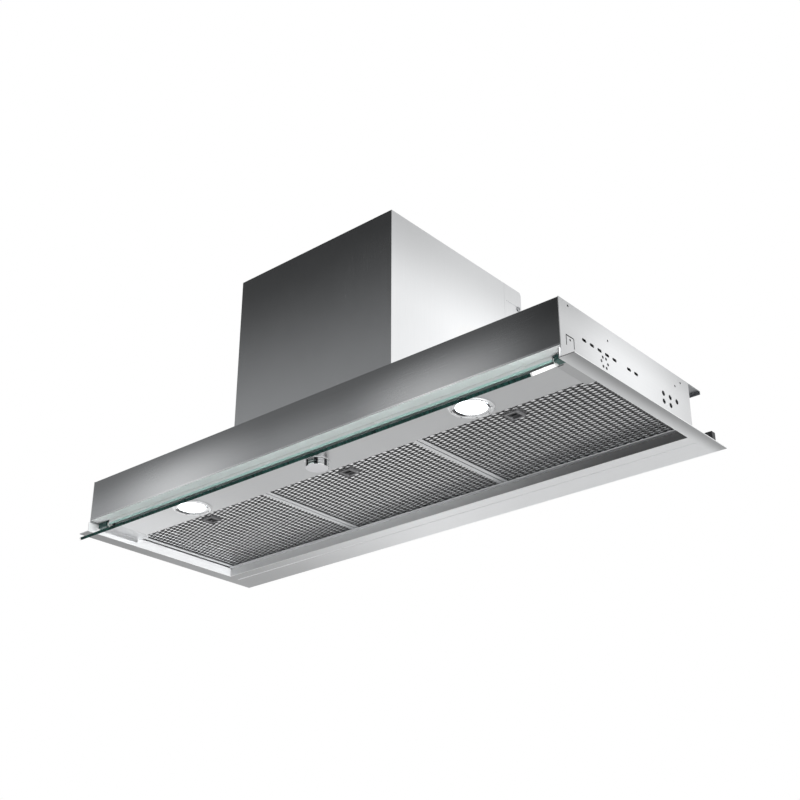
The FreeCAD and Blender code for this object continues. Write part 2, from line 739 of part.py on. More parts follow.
def tower_rear_cover():
    """Back and top shell of the tower, with a rounded corner between them."""
    def slab(half, inset):
        front = TOWER_SEAM
        x = (f"-({half})", half)
        low = "body_top" if inset == "0" else "body_top - 1"
        y = (front if inset == "0" else f"{front} - 1", f"{TOWER_REAR} - {inset}")
        whole = box(x, y, (low, f"{TOWER_TOP} - {inset}"))
        corner_y = f"{TOWER_REAR} - tower_round"
        corner_z = f"{TOWER_TOP} - tower_round"
        start = f"-({half})"
        square = box(x, (corner_y, f"{TOWER_REAR} - {inset}"), (corner_z, f"{TOWER_TOP} - {inset}"))
        quarter = rod("x", f"tower_round - {inset}", start, f"2 * ({half})", (corner_y, corner_z))
        return fused([cut(whole, [square]), quarter])

    outer = slab(HALF_TOWER, "0")
    inner = slab(f"{HALF_TOWER} - sheet", "sheet")
    inlet = rod("y", "gland_neck", f"{TOWER_REAR} - 3 * sheet", "6 * sheet", (GLAND_X, GLAND_Z))
    line = f"({TOWER_TOP} - 29)"
    seam_y = (f"{TOWER_SEAM} + 4", f"{TOWER_REAR} - 8")
    seams = [box(mirrored(f"{HALF_TOWER} - 0.4", f"{HALF_TOWER} + 1", side), seam_y,
                 (line, f"{line} + 0.8")) for side in (-1, 1)]
    keep(cut(outer, [inner, inlet] + seams), "tower_rear_cover")


def tower_top_plate():
    body = new_body("tower_top_plate")
    outline = new_sketch(body, "XY_Plane", TOWER_UNDER)
    half = f"{HALF_TOWER} - sheet"
    rectangle(outline, (f"-({half})", half), ("tower_front + sheet", TOWER_SEAM))
    circle(outline, "0", TOWER_MIDDLE, "spigot_radius - spigot_wall")
    pad(body, outline, "sheet")


def tower_screws():
    heads = []
    for side in (-1, 1):
        for level in (f"{TOWER_TOP} - 31", "body_top + 30"):
            start = HALF_TOWER if side > 0 else f"-{HALF_TOWER} - screw_head_height"
            heads.append(rod("x", "screw_head_radius", start, "screw_head_height",
                             (f"{TOWER_REAR} - 8", level)))
    keep(group(heads), "tower_screws")


# ---------------------------------------------------------------- air outlet
FLAP_Z = f"({TOWER_TOP} + flap_level)"


def duct_spigot():
    """The outlet collar, with a ledge that the flaps close on and holes for their rod."""
    inner = "spigot_radius - spigot_wall"
    base, top = TOWER_TOP, f"{TOWER_TOP} + spigot_height"
    stop = f"{FLAP_Z} - flap_thick / 2 - seat_gap"
    collar = turned("collar", [
        (inner, base), ("spigot_flange", base), ("spigot_flange", f"{base} + spigot_wall"),
        ("spigot_radius", f"{base} + spigot_wall"), ("spigot_radius", top), (inner, top),
        (inner, stop), (f"{inner} - stop_ledge", stop), (f"{inner} - stop_ledge", f"{stop} - 1"),
        (inner, f"{stop} - 1")], "0", TOWER_MIDDLE, kept=False)
    reach = f"({inner} + spigot_wall / 2)"
    centre = (TOWER_MIDDLE, FLAP_Z)
    hole = rod("x", "flap_rod_radius + shaft_clearance", f"-{reach}", f"2 * {reach}", centre)
    keep(cut(collar, [hole]), "duct_spigot")
    keep(rod("x", "flap_rod_radius", f"-{reach}", f"2 * {reach}", centre), "damper_rod")


def damper_flap(name, side):
    """One half disc with its knuckles on the rod; side -1 is the front half."""
    reach = "spigot_radius - spigot_wall - flap_clearance"
    level = (f"{FLAP_Z} - flap_thick / 2", f"{FLAP_Z} + flap_thick / 2")
    disc = rod("z", reach, level[0], "flap_thick", ("0", TOWER_MIDDLE))
    edge = "(knuckle_radius + knuckle_clearance)"

    def beyond(low, high):
        if side > 0:
            return (f"{TOWER_MIDDLE} + {low}", f"{TOWER_MIDDLE} + {high}")
        return (f"{TOWER_MIDDLE} - {high}", f"{TOWER_MIDDLE} - {low}")

    half = box(("-spigot_radius", "spigot_radius"), beyond(edge, "spigot_radius"),
               (f"{FLAP_Z} - 5", f"{FLAP_Z} + 5"))
    leaf = doc.addObject("Part::Common", "leaf")
    leaf.Base = disc
    leaf.Tool = half
    pieces = [leaf]
    bores = []
    centre = (TOWER_MIDDLE, FLAP_Z)
    for low, high in DAMPER_KNUCKLES[name]:
        pieces.append(box((str(low), str(high)), beyond("0", f"({edge} + 1)"), level))
        pieces.append(rod("x", "knuckle_radius", str(low), str(high - low), centre))
        bores.append(rod("x", "flap_rod_radius + shaft_clearance", str(low - 1),
                         str(high - low + 2), centre))
    keep(cut(fused(pieces), bores), f"damper_flap_{name}")


# ---------------------------------------------------------------- blower
BLOWER_Z = f"({TOWER_TOP} - blower_drop)"


def blower_housing():
    def outline(inset):
        half = f"blower_width / 2 - {inset}"
        drum = rod("x", f"blower_radius - {inset}", f"-({half})", f"2 * ({half})",
                   (TOWER_MIDDLE, BLOWER_Z))
        top = TOWER_UNDER if inset == "0" else f"{TOWER_UNDER} + 1"
        neck = box((f"-({half})", half),
                   (f"{TOWER_MIDDLE} - outlet_depth / 2 + {inset}",
                    f"{TOWER_MIDDLE} + outlet_depth / 2 - {inset}"), (BLOWER_Z, top))
        return fused([drum, neck])

    inlets = rod("x", "inlet_radius", "-blower_width", "2 * blower_width",
                 (TOWER_MIDDLE, BLOWER_Z))
    keep(cut(outline("0"), [outline("blower_wall"), inlets]), "blower_housing")


def blower_wheel():
    """A drum of blades between two rings, on a disc hub; it turns about X."""
    ring_inner = "wheel_radius - wheel_ring"
    half = "wheel_width / 2"

    def disc(radius, start, length):
        return rod("x", radius, start, length, (TOWER_MIDDLE, BLOWER_Z))

    hub = disc("wheel_radius - 1", "0", "hub_thick")
    rings = []
    for start in (f"-({half})", f"{half} - hub_thick"):
        middle = disc(ring_inner, f"{start} - 1", "hub_thick + 2")
        rings.append(cut(disc("wheel_radius", start, "hub_thick"), [middle]))
    bore = disc("shaft_radius", "-1", "hub_thick + 2")
    blade = Part.makeBox(value("wheel_width"), value("blade_thick"), value("wheel_ring - 2"))
    blade.translate(FreeCAD.Vector(-value(half), -value("blade_thick") / 2, value(ring_inner) + 1))
    count = int(value("blade_count"))
    blades = []
    for number in range(count):
        one = blade.copy()
        one.rotate(FreeCAD.Vector(0, 0, value("wheel_radius - wheel_ring / 2")),
                   FreeCAD.Vector(1, 0, 0), 35)
        one.rotate(FreeCAD.Vector(), FreeCAD.Vector(1, 0, 0), 360 * number / count)
        blades.append(one)
    cage = doc.addObject("Part::Feature", "blades")
    cage.Shape = Part.makeCompound(blades)
    place(cage, "0", TOWER_MIDDLE, BLOWER_Z)
    keep(cut(fused([hub] + rings + [cage]), [bore]), "blower_wheel")
    keep(disc("shaft_radius", "-motor_gap - 16", "motor_gap + 16 + hub_thick + 6"), "motor_shaft")


def motor():
    start = "-blower_width / 2"
    length = "blower_width / 2 - motor_gap"
    can = rod("x", "motor_radius", start, length, (TOWER_MIDDLE, BLOWER_Z))
    bore = rod("x", "shaft_radius + shaft_clearance", "-motor_gap - 16.5", "17.5",
               (TOWER_MIDDLE, BLOWER_Z))
    keep(cut(can, [bore]), "motor")
    plate_start = "-blower_width / 2 - bracket_thick"

    def disc(radius, inset="0"):
        return rod("x", radius, f"{plate_start} - {inset}", f"bracket_thick + 2 * ({inset})",
                   (TOWER_MIDDLE, BLOWER_Z))

    ring = cut(disc("bracket_ring"), [disc("inlet_radius", "1")])
    half_arm = "bracket_arm / 2"
    x = (plate_start, "-blower_width / 2")
    across = box(x, (f"{TOWER_MIDDLE} - bracket_ring + 4", f"{TOWER_MIDDLE} + bracket_ring - 4"),
                 (f"{BLOWER_Z} - {half_arm}", f"{BLOWER_Z} + {half_arm}"))
    upright = box(x, (f"{TOWER_MIDDLE} - {half_arm}", f"{TOWER_MIDDLE} + {half_arm}"),
                  (f"{BLOWER_Z} - bracket_ring + 4", f"{BLOWER_Z} + bracket_ring - 4"))
    keep(fused([ring, disc("motor_radius - 8"), across, upright]), "motor_bracket")
    screws = []
    outside = f"{plate_start} - screw_head_height"
    for dy, dz in ((1, 0), (-1, 0), (0, 1), (0, -1)):
        reach = "(inlet_radius + bracket_ring) / 2"
        screws.append(rod("x", "screw_head_radius", outside, "screw_head_height",
                          (f"{TOWER_MIDDLE} + {dy} * {reach}", f"{BLOWER_Z} + {dz} * {reach}")))
    keep(group(screws), "bracket_screws")


# ---------------------------------------------------------------- electrics
def electrics():
    front = "tower_front + sheet"
    low = "body_top + box_above_body"
    beside = "blower_width / 2 + box_beside_blower"
    keep(box((beside, f"{beside} + box_width"), (front, f"{front} + box_depth"),
             (low, f"{low} + box_height")), "control_box")
    keep(rod("z", "capacitor_radius", low, "capacitor_length",
             (f"-({beside} + capacitor_radius)", f"{front} + capacitor_radius + seat_gap")),
         "run_capacitor")
    x = "(switch_width / 2 + 30)"
    middle = "(lamp_panel_front + lamp_panel_rear) / 2"
    y = (f"{middle} - driver_width / 2", f"{middle} + driver_width / 2")
    keep(box((x, f"{x} + driver_length"), y, (PANEL_TOP, f"{PANEL_TOP} + driver_height")),
         "lamp_driver")
    flange = rod("y", "gland_radius", TOWER_REAR, "gland_length / 2", (GLAND_X, GLAND_Z))
    neck = rod("y", "gland_neck - seat_gap", f"{TOWER_REAR} - sheet - 4", "gland_length / 2 + 5",
               (GLAND_X, GLAND_Z))
    bore = rod("y", "gland_bore", f"{TOWER_REAR} - 3 * gland_length", "6 * gland_length",
               (GLAND_X, GLAND_Z))
    keep(cut(fused([flange, neck]), [bore]), "cable_gland")


# ---------------------------------------------------------------- hardware
def fixing_clips():
    """Two black spring clips that catch the cabinet's floor, one at each rear corner."""
    clips = []
    rear = f"({FLANGE_REAR} - clip_from_rear)"
    base = "flange_sheet"
    for side in (-1, 1):
        x = mirrored(f"{HALF_FLANGE} - 2.5 - clip_width", f"{HALF_FLANGE} - 2.5", side)
        foot = box(x, (f"{rear} - clip_length", rear), (base, f"{base} + 2.5"))
        peg = box(x, (f"{rear} - clip_peg", rear), (base, f"{base} + clip_height"))
        clips.append(fused([foot, peg]))
    keep(group(clips), "fixing_clips")


def rail_screws():
    heads = []
    for number in (-3, -1, 1, 3):
        heads.append(rod("y", "screw_head_radius", "body_depth + sheet", "screw_head_height",
                         (f"{number} * body_width / 8", "body_top - 13")))
    keep(group(heads), "rail_screws")


bottom_frame()
front_panel()
top_plate()
rear_wall()
rear_rail()
lamp_panel()
rotary_control()
visor()
glass_strip()
filter_ledge()
for side_name, side in (("left", -1), ("right", 1)):
    side_wall(f"side_wall_{side_name}", side)
    panel_cheek(f"panel_cheek_{side_name}", side)
    lamp(side_name, side)
    visor_hinge(f"visor_hinge_{side_name}", side)
for filter_name, number in (("left", -1), ("middle", 0), ("right", 1)):
    grease_filter(filter_name, number)
tower_front_cover()
tower_rear_cover()
tower_top_plate()
tower_screws()
duct_spigot()
damper_flap("front", -1)
damper_flap("rear", 1)
blower_housing()
blower_wheel()
motor()
electrics()
fixing_clips()
rail_screws()

doc.recompute()
for thing in doc.Objects:
    if "Invalid" in thing.State or "Error" in thing.State:
        raise SystemExit(f"{thing.Label} did not compute: {thing.State}")
for part in PARTS:
    if part.Shape.isNull() or not part.Shape.isValid():
        raise SystemExit(f"{part.Label} has no valid shape")

os.makedirs("parts", exist_ok=True)
for part in PARTS:
    part.Shape.exportStep(f"parts/{part.Label}.step")
    print(f"{part.Label}: {len(part.Shape.Solids)} solid(s), {part.Shape.Volume:.0f} mm3")
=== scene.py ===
"""The looks of a built-in cooker hood: pressed steel, glass visor, lamps and filters."""

import json
import math

import bmesh
import bpy
from mathutils import Matrix, Vector


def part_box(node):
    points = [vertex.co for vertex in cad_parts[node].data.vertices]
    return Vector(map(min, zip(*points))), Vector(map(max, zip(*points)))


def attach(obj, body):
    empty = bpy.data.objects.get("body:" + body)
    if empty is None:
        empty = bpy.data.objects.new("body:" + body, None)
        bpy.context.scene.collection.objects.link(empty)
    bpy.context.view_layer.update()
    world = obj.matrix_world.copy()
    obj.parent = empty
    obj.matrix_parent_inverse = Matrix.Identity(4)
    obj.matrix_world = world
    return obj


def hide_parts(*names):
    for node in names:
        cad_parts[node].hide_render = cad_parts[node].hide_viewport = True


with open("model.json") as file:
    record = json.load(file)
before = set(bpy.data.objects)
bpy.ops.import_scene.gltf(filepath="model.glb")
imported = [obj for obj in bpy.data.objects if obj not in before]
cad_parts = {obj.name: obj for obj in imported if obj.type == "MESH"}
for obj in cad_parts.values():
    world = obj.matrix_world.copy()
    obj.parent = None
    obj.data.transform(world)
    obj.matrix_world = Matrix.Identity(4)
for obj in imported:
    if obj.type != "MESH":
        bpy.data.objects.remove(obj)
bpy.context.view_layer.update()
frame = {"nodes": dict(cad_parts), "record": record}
BODY_OF = {name: body for body, names in frame["record"]["behaviour"]["bodies"].items()
           for name in names}
MM = 0.001
SIDES = (("left", -1), ("right", 1))
FILTERS = ("left", "middle", "right")
VISOR_TILT = math.radians(32.5)
LAMP_X = 0.259  # from the middle of the hood to a lamp's centre, in metres

# In millimetres: the outlet's collar, the screw heads, the filters' mesh and the frame's step.
SPIGOT_RADIUS, SPIGOT_WALL, SPIGOT_STOP = 75.0, 1.5, 29.2
SCREW_RADIUS, SCREW_HEIGHT = 4.0, 2.2
MESH_PERIOD, MESH_ROW, STRAND_THICK = 20.0, 3.2, 0.45
JOGGLE_IN = 42.5  # from the bottom frame's rear edge to its pressed step

# The photo's camera and the floor: places in metres, lens and sensor in millimetres.
CAMERA_PLACE = (1.1346, -1.0920, -0.6771)
CAMERA_TURN, CAMERA_LIFT = math.radians(40.854), math.radians(25.907)
CAMERA_LENS, CAMERA_SENSOR = 58.51, 36
FLOOR_LEVEL, FLOOR_HALF = -1.5, 9


# ---------------------------------------------------------------- materials
class Paint:
    """A node material whose helpers return sockets, in the coordinates of the object itself."""

    def __init__(self, name, **sockets):
        self.material = bpy.data.materials.new(name)
        self.material.use_nodes = True
        self.tree = self.material.node_tree
        self.shader = self.tree.nodes["Principled BSDF"]
        self.coords = self.node("ShaderNodeTexCoord").outputs["Object"]
        for socket, value in sockets.items():
            self.shader.inputs[socket.replace("_", " ")].default_value = value

    def node(self, kind, **settings):
        made = self.tree.nodes.new(kind)
        for key, value in settings.items():
            setattr(made, key, value)
        return made

    def feed(self, socket, source):
        if isinstance(source, bpy.types.NodeSocket):
            self.tree.links.new(source, socket)
        elif isinstance(source, tuple) and len(source) == 3 and socket.type == "RGBA":
            socket.default_value = (*source, 1)
        else:
            socket.default_value = source

    def stretched(self, scale):
        mapping = self.node("ShaderNodeMapping")
        self.feed(mapping.inputs["Vector"], self.coords)
        mapping.inputs["Scale"].default_value = scale
        return mapping.outputs["Vector"]

    def noise(self, scale, stretch=(1, 1, 1), detail=3.0, roughness=0.55):
        texture = self.node("ShaderNodeTexNoise")
        self.feed(texture.inputs["Vector"], self.stretched(stretch))
        texture.inputs["Scale"].default_value = scale
        texture.inputs["Detail"].default_value = detail
        texture.inputs["Roughness"].default_value = roughness
        return texture.outputs["Fac"]

    def cells(self, scale, stretch=(1, 1, 1)):
        texture = self.node("ShaderNodeTexVoronoi", feature="F1")
        self.feed(texture.inputs["Vector"], self.stretched(stretch))
        texture.inputs["Scale"].default_value = scale
        return texture

    def along(self, axis, low, high, to_low=0.0, to_high=1.0, smooth=False):
        """A value that goes from one number to another between two places on an axis."""
        split = self.node("ShaderNodeSeparateXYZ")
        self.feed(split.inputs[0], self.coords)
        return self.remap(split.outputs[axis.upper()], low, high, to_low, to_high, smooth)

    def remap(self, source, low, high, to_low, to_high, smooth=False):
        kind = "SMOOTHSTEP" if smooth else "LINEAR"
        node = self.node("ShaderNodeMapRange", interpolation_type=kind)
        self.feed(node.inputs["Value"], source)
        for socket, value in zip(("From Min", "From Max", "To Min", "To Max"),
                                 (low, high, to_low, to_high)):
            node.inputs[socket].default_value = value
        return node.outputs["Result"]

    def maths(self, kind, a, b):
        node = self.node("ShaderNodeMath", operation=kind)
        self.feed(node.inputs[0], a)
        self.feed(node.inputs[1], b)
        return node.outputs[0]

    def mix(self, factor, a, b, blend="MIX"):
        node = self.node("ShaderNodeMix", data_type="RGBA", blend_type=blend)
        self.feed(node.inputs[0], factor)
        self.feed(node.inputs[6], a)
        self.feed(node.inputs[7], b)
        return node.outputs[2]

    def bump(self, height, strength, distance):
        node = self.node("ShaderNodeBump")
        node.inputs["Strength"].default_value = strength
        node.inputs["Distance"].default_value = distance
        self.feed(node.inputs["Height"], height)
        self.feed(self.shader.inputs["Normal"], node.outputs[0])

    def finish(self, colour, roughness=None):
        self.feed(self.shader.inputs["Base Color"], colour)
        if roughness is not None:
            self.feed(self.shader.inputs["Roughness"], roughness)
        return self.material


def grain_stretch(axis, length, width):
    """Noise scales, per metre, for scratches of a length along an axis and a width across it."""
    return tuple(1 / length if name == axis else 1 / width for name in "xyz")


def brushed(name, dark, light, axis="x", rough=(0.26, 0.34), shade=None, glow=None,
            metallic=1.0):
    """Brushed sheet steel with long fine scratches, soft cloudy rolling marks and smudges.
    shade holds (axis, low, high, at_low, at_high): painted shade, the tone fading between two
    places.
    glow holds (x, reach, low, high, amount): a painted pool of light low on the sheet."""
    paint = Paint(name, Metallic=metallic)
    fine = paint.noise(1.0, grain_stretch(axis, 0.045, 0.0005), 2.0, 0.7)
    broad = paint.noise(1.0, grain_stretch(axis, 0.16, 0.002), 2.0)
    smudge = paint.noise(9.0, detail=4.0, roughness=0.6)
    grain = paint.maths("ADD", paint.maths("MULTIPLY", fine, 0.7),
                        paint.maths("MULTIPLY", broad, 0.3))
    colour = paint.mix(paint.remap(grain, 0.25, 0.75, 0.0, 1.0), dark, light)
    colour = paint.mix(paint.remap(smudge, 0.35, 0.75, 0.0, 0.10), colour, dark)
    # Painted shade: the colour is multiplied by each fade.
    for place, low, high, at_low, at_high in shade or ():
        fade = paint.along(place, low, high, at_low, at_high, smooth=True)
        colour = paint.mix(1.0, colour, fade, "MULTIPLY")
    # Painted pools of light: a pale colour mixed in around a place on x, fading upward.
    for place, reach, low, high, amount in glow or ():
        rise = paint.along("x", place - reach, place, 0.0, 1.0, smooth=True)
        fall = paint.along("x", place, place + reach, 1.0, 0.0, smooth=True)
        upward = paint.along("z", low, high, amount, 0.0, smooth=True)
        spot = paint.maths("MULTIPLY", paint.maths("MULTIPLY", rise, fall), upward)
        colour = paint.mix(spot, colour, (0.93, 0.945, 0.96))
    roughness = paint.maths("ADD", paint.remap(grain, 0.3, 0.7, rough[0], rough[1]),
                            paint.remap(smudge, 0.3, 0.8, -0.02, 0.05))
    paint.bump(grain, 0.05, 0.0002)
    return paint.finish(colour, roughness)


def galvanised(name):
    """Zinc-coated sheet: large flat crystals that differ a little in tone and gloss."""
    paint = Paint(name, Metallic=1.0)
    tone = paint.node("ShaderNodeSeparateColor")
    paint.feed(tone.inputs[0], paint.cells(85).outputs["Color"])
    cloud = paint.noise(30.0, detail=5.0)
    colour = paint.mix(tone.outputs[0], (0.52, 0.54, 0.56), (0.70, 0.72, 0.74))
    colour = paint.mix(paint.remap(cloud, 0.4, 0.7, 0.0, 0.25), colour, (0.45, 0.46, 0.48))
    paint.bump(cloud, 0.08, 0.0003)
    return paint.finish(colour, paint.remap(tone.outputs[1], 0.0, 1.0, 0.28, 0.46))


def polished(name, tint=(0.86, 0.87, 0.88), low=0.04, high=0.11):
    """Chrome plate: near mirror, with faint wipe marks and a little orange peel."""
    paint = Paint(name, Metallic=1.0)
    wipe = paint.noise(60.0)
    peel = paint.noise(900.0, detail=1.0)
    colour = paint.mix(paint.remap(wipe, 0.35, 0.7, 0.0, 0.3), tint,
                       tuple(0.82 * part for part in tint))
    paint.bump(peel, 0.03, 0.0001)
    return paint.finish(colour, paint.remap(wipe, 0.35, 0.7, low, high))


def moulded(name, colour, lighter, rough=(0.42, 0.58)):
    """Injection-moulded plastic with a fine spark-eroded grain and slight tone drift."""
    paint = Paint(name)
    pits = paint.noise(1400.0, detail=2.0)
    drift = paint.noise(40.0)
    tone = paint.mix(paint.remap(drift, 0.3, 0.7, 0.0, 1.0), colour, lighter)
    paint.bump(pits, 0.18, 0.0002)
    return paint.finish(tone, paint.remap(pits, 0.3, 0.7, rough[0], rough[1]))


def turned_chrome(name, centre, count, dark):
    """Chrome on a turned part, with painted reflection: the upright dark and light bands that a
    round mirror shows.
    """
    paint = Paint(name, Metallic=1.0)
    split = paint.node("ShaderNodeSeparateXYZ")
    paint.feed(split.inputs[0], paint.coords)
    turn = paint.maths("ARCTAN2", paint.maths("SUBTRACT", split.outputs["Y"], centre[1]),
                       paint.maths("SUBTRACT", split.outputs["X"], centre[0]))
    wave = paint.maths("COSINE", paint.maths("MULTIPLY", turn, count), 0.0)
    haze = paint.noise(160.0, detail=4.0)
    # Painted reflection: dark and light bands round the axis.
    band = paint.remap(wave, 0.25, 0.6, 0.0, 1.0, smooth=True)
    colour = paint.mix(band, (0.90, 0.91, 0.92), dark)
    colour = paint.mix(paint.remap(haze, 0.4, 0.8, 0.0, 0.15), colour, (0.55, 0.56, 0.57))
    return paint.finish(colour, paint.remap(haze, 0.3, 0.7, 0.05, 0.12))


def clear_glass(name):
    """Float glass: green in its depth, clean on its faces, with faint wipe marks."""
    paint = Paint(name, Transmission_Weight=1.0, IOR=1.5)
    wipe = paint.noise(22.0, (1, 4, 1), 4.0)
    depth = paint.node("ShaderNodeVolumeAbsorption")
    depth.inputs["Color"].default_value = (0.45, 0.86, 0.76, 1)
    depth.inputs["Density"].default_value = 9
    output = paint.tree.nodes["Material Output"]
    paint.feed(output.inputs["Volume"], depth.outputs[0])
    colour = paint.mix(paint.remap(wipe, 0.3, 0.8, 0.0, 1.0), (0.93, 0.99, 0.97),
                       (0.86, 0.97, 0.94))
    return paint.finish(colour, paint.remap(wipe, 0.45, 0.8, 0.0, 0.05))


def ground_edge(name):
    """The ground edge of a glass pane: dark green, with fine cross-wise wheel marks; its
    near-black tone is painted shade.
    """
    paint = Paint(name, Specular_IOR_Level=0.12)
    marks = paint.noise(1.0, (420, 60, 60), 2.0, 0.7)
    depth = paint.noise(30.0)
    colour = paint.mix(paint.remap(marks, 0.35, 0.65, 0.0, 1.0), (0.002, 0.010, 0.009),
                       (0.018, 0.080, 0.068))
    colour = paint.mix(paint.remap(depth, 0.4, 0.7, 0.0, 0.4), colour, (0.004, 0.020, 0.018))
    paint.bump(marks, 0.1, 0.0003)
    return paint.finish(colour, paint.remap(marks, 0.3, 0.7, 0.25, 0.45))


def frosted_strip(name):
    """Pale green translucent edge strip, whiter along its top."""
    paint = Paint(name, Transmission_Weight=0.1, IOR=1.45)
    haze = paint.noise(120.0, (0.2, 1, 1), 3.0)
    height = paint.along("z", 0.0125, 0.0145, 0.0, 1.0, smooth=True)
    colour = paint.mix(height, (0.58, 0.88, 0.82), (0.95, 0.96, 0.96))
    colour = paint.mix(paint.remap(haze, 0.35, 0.7, 0.0, 0.2), colour, (0.90, 0.95, 0.94))
    return paint.finish(colour, paint.remap(haze, 0.3, 0.7, 0.18, 0.32))


def lit_lens(name, strength):
    """Prismatic lamp glass, lit from behind, brightest over its middle."""
    paint = Paint(name, Roughness=0.25)
    prisms = paint.cells(420.0).outputs["Distance"]
    glow = paint.remap(prisms, 0.0, 0.7, 1.0, 0.72)
    colour = paint.mix(prisms, (1.0, 1.0, 1.0), (0.78, 0.90, 0.98))
    paint.feed(paint.shader.inputs["Emission Color"], colour)
    paint.feed(paint.shader.inputs["Emission Strength"], paint.maths("MULTIPLY", glow, strength))
    paint.bump(prisms, 0.3, 0.0005)
    return paint.finish(colour)


# Painted shade on the front panel, darker towards its top and its right end, and two painted
# pools of light low on the panel near the lamps.
FRONT_PAINTED_SHADE = (("z", 0.020, 0.076, 0.80, 0.43), ("x", 0.30, 0.44, 1.0, 0.38))
FRONT_PAINTED_LIGHT_POOLS = ((0.03 - LAMP_X, 0.195, 0.020, 0.092, 1.0),
              (LAMP_X - 0.015, 0.16, 0.016, 0.084, 1.0))
# One brushed steel in two tones: the first for front faces, the second a copy painted paler, as
# painted light, for the sides, the underside and the upstands.
STEEL = (0.515, 0.53, 0.545), (0.575, 0.59, 0.605)
STEEL_PAINTED_PALER = (0.86, 0.87, 0.88), (0.93, 0.94, 0.95)
steel_front_painted_shade = brushed("steel_front_painted_shade", *STEEL, "x", (0.20, 0.26), FRONT_PAINTED_SHADE,
                      FRONT_PAINTED_LIGHT_POOLS)
# Painted shade on the tower's front: darker towards the top.
steel_tower = brushed("steel_tower_front_painted_shade", *STEEL, "z", (0.20, 0.26),
                      (("z", 0.09, 0.34, 0.90, 0.26),))
# Painted shade on the side walls: darker at the front edge, at the top and towards the rear.
steel_side_painted_shade = brushed("steel_side_painted_shade", *STEEL_PAINTED_PALER, "y", (0.32, 0.40),
                     (("y", 0.0, 0.12, 0.70, 1.0), ("z", 0.045, 0.085, 1.0, 0.82),
                      ("y", 0.16, 0.33, 1.0, 0.70)))
# Painted shade on the tower's sides: darker towards the top and towards the front.
steel_tower_side_painted_shade = brushed("steel_tower_side_painted_shade", *STEEL_PAINTED_PALER, "z", (0.30, 0.38),
                           (("z", 0.20, 0.345, 1.08, 0.70), ("y", 0.03, 0.25, 0.90, 1.08)))
steel_bright = brushed("steel_edge", *STEEL_PAINTED_PALER, "x", (0.30, 0.40))
# Painted shade on the bottom flange: darker towards the left, towards the front and at the right
# edge.
steel_flange_painted_shade = brushed("steel_flange_painted_shade", *STEEL_PAINTED_PALER, "x", (0.30, 0.40),
                       (("x", -0.43, 0.05, 0.44, 1.08), ("y", 0.0, 0.33, 0.80, 1.0),
                        ("x", 0.425, 0.448, 1.0, 0.50)))
# Painted light on the lamp panel: paler towards its left end.
steel_panel_painted_shade = brushed("steel_lamp_panel_painted_shade", *STEEL_PAINTED_PALER, "x", (0.30, 0.40),
                      (("x", -0.42, -0.12, 0.98, 0.68),))
# Painted shade on the cheeks: darker towards the right.
steel_cheek_painted_shade = brushed("steel_cheek_painted_shade", *STEEL_PAINTED_PALER, "y", (0.30, 0.40),
                      (("x", -0.40, 0.40, 0.88, 0.58),))
zinc = galvanised("zinc_sheet")
chrome = polished("chrome_plate")
satin = brushed("satin_face", (0.72, 0.72, 0.74), (0.82, 0.82, 0.84), "x", (0.32, 0.42))
aluminium = brushed("filter_aluminium", (0.66, 0.67, 0.68), (0.80, 0.81, 0.82), "y",
                    (0.28, 0.40))
# The filter mesh in three tones: pale bonds as painted highlight, darker strands as painted
# shade, near-black strands deeper in as painted shadow.
strand = brushed("mesh_bond_painted_highlight", (0.93, 0.94, 0.95), (0.98, 0.98, 0.99), "x", (0.20, 0.30))
strand_painted_shade = brushed("mesh_strand_painted_shade", (0.24, 0.24, 0.245), (0.37, 0.37, 0.375), "x",
                       (0.30, 0.45))
strand_painted_shadow = brushed("mesh_deep_painted_shadow", (0.02, 0.02, 0.022), (0.05, 0.05, 0.052), "x", (0.45, 0.6))
glass = clear_glass("visor_float_glass")
glass_edge = ground_edge("visor_ground_edge")
strip_glass = frosted_strip("strip_pale_glass")
black = moulded("black_moulding", (0.012, 0.013, 0.014), (0.028, 0.029, 0.030))
white = moulded("white_moulding", (0.80, 0.81, 0.80), (0.88, 0.88, 0.87), (0.25, 0.38))
grey = moulded("grey_moulding", (0.20, 0.21, 0.22), (0.28, 0.29, 0.30))
hinge_green = moulded("hinge_moulding", (0.012, 0.050, 0.045), (0.025, 0.085, 0.075), (0.2, 0.3))
motor_steel = brushed("motor_can_steel", (0.30, 0.31, 0.32), (0.42, 0.43, 0.44), "x")
screw_steel = polished("screw_plate", (0.55, 0.56, 0.58), 0.2, 0.35)
lens = lit_lens("lamp_prisms", 7.0)
# Painted light: a near-white, non-metallic copy of the steel for the front panel's bend and
# return, standing in for their bright highlight.
steel_return_painted_light = brushed("steel_return_painted_light", (0.94, 0.95, 0.955), (0.98, 0.985, 0.99), "x",
                       (0.50, 0.60), metallic=0.0)
# Painted shade on the rear upstand: darker towards the right.
steel_inner_painted_shade = brushed("steel_rear_upstand_painted_shade", *STEEL_PAINTED_PALER, "x", (0.40, 0.50),
                      (("x", -0.10, 0.38, 0.66, 0.12),), metallic=0.3)
# Painted light: a near-white, nearly non-metallic copy of the steel for the left upstand wall
# that faces right.
steel_left = brushed("steel_left_upstand_painted_light", (0.90, 0.91, 0.92), (0.96, 0.97, 0.98), "y",
                     (0.40, 0.50), metallic=0.1)
steel_rail = brushed("steel_rail", (0.34, 0.35, 0.36), (0.42, 0.43, 0.44), "x")
latch_rim = moulded("latch_rim_moulding", (0.10, 0.10, 0.105), (0.17, 0.17, 0.175))


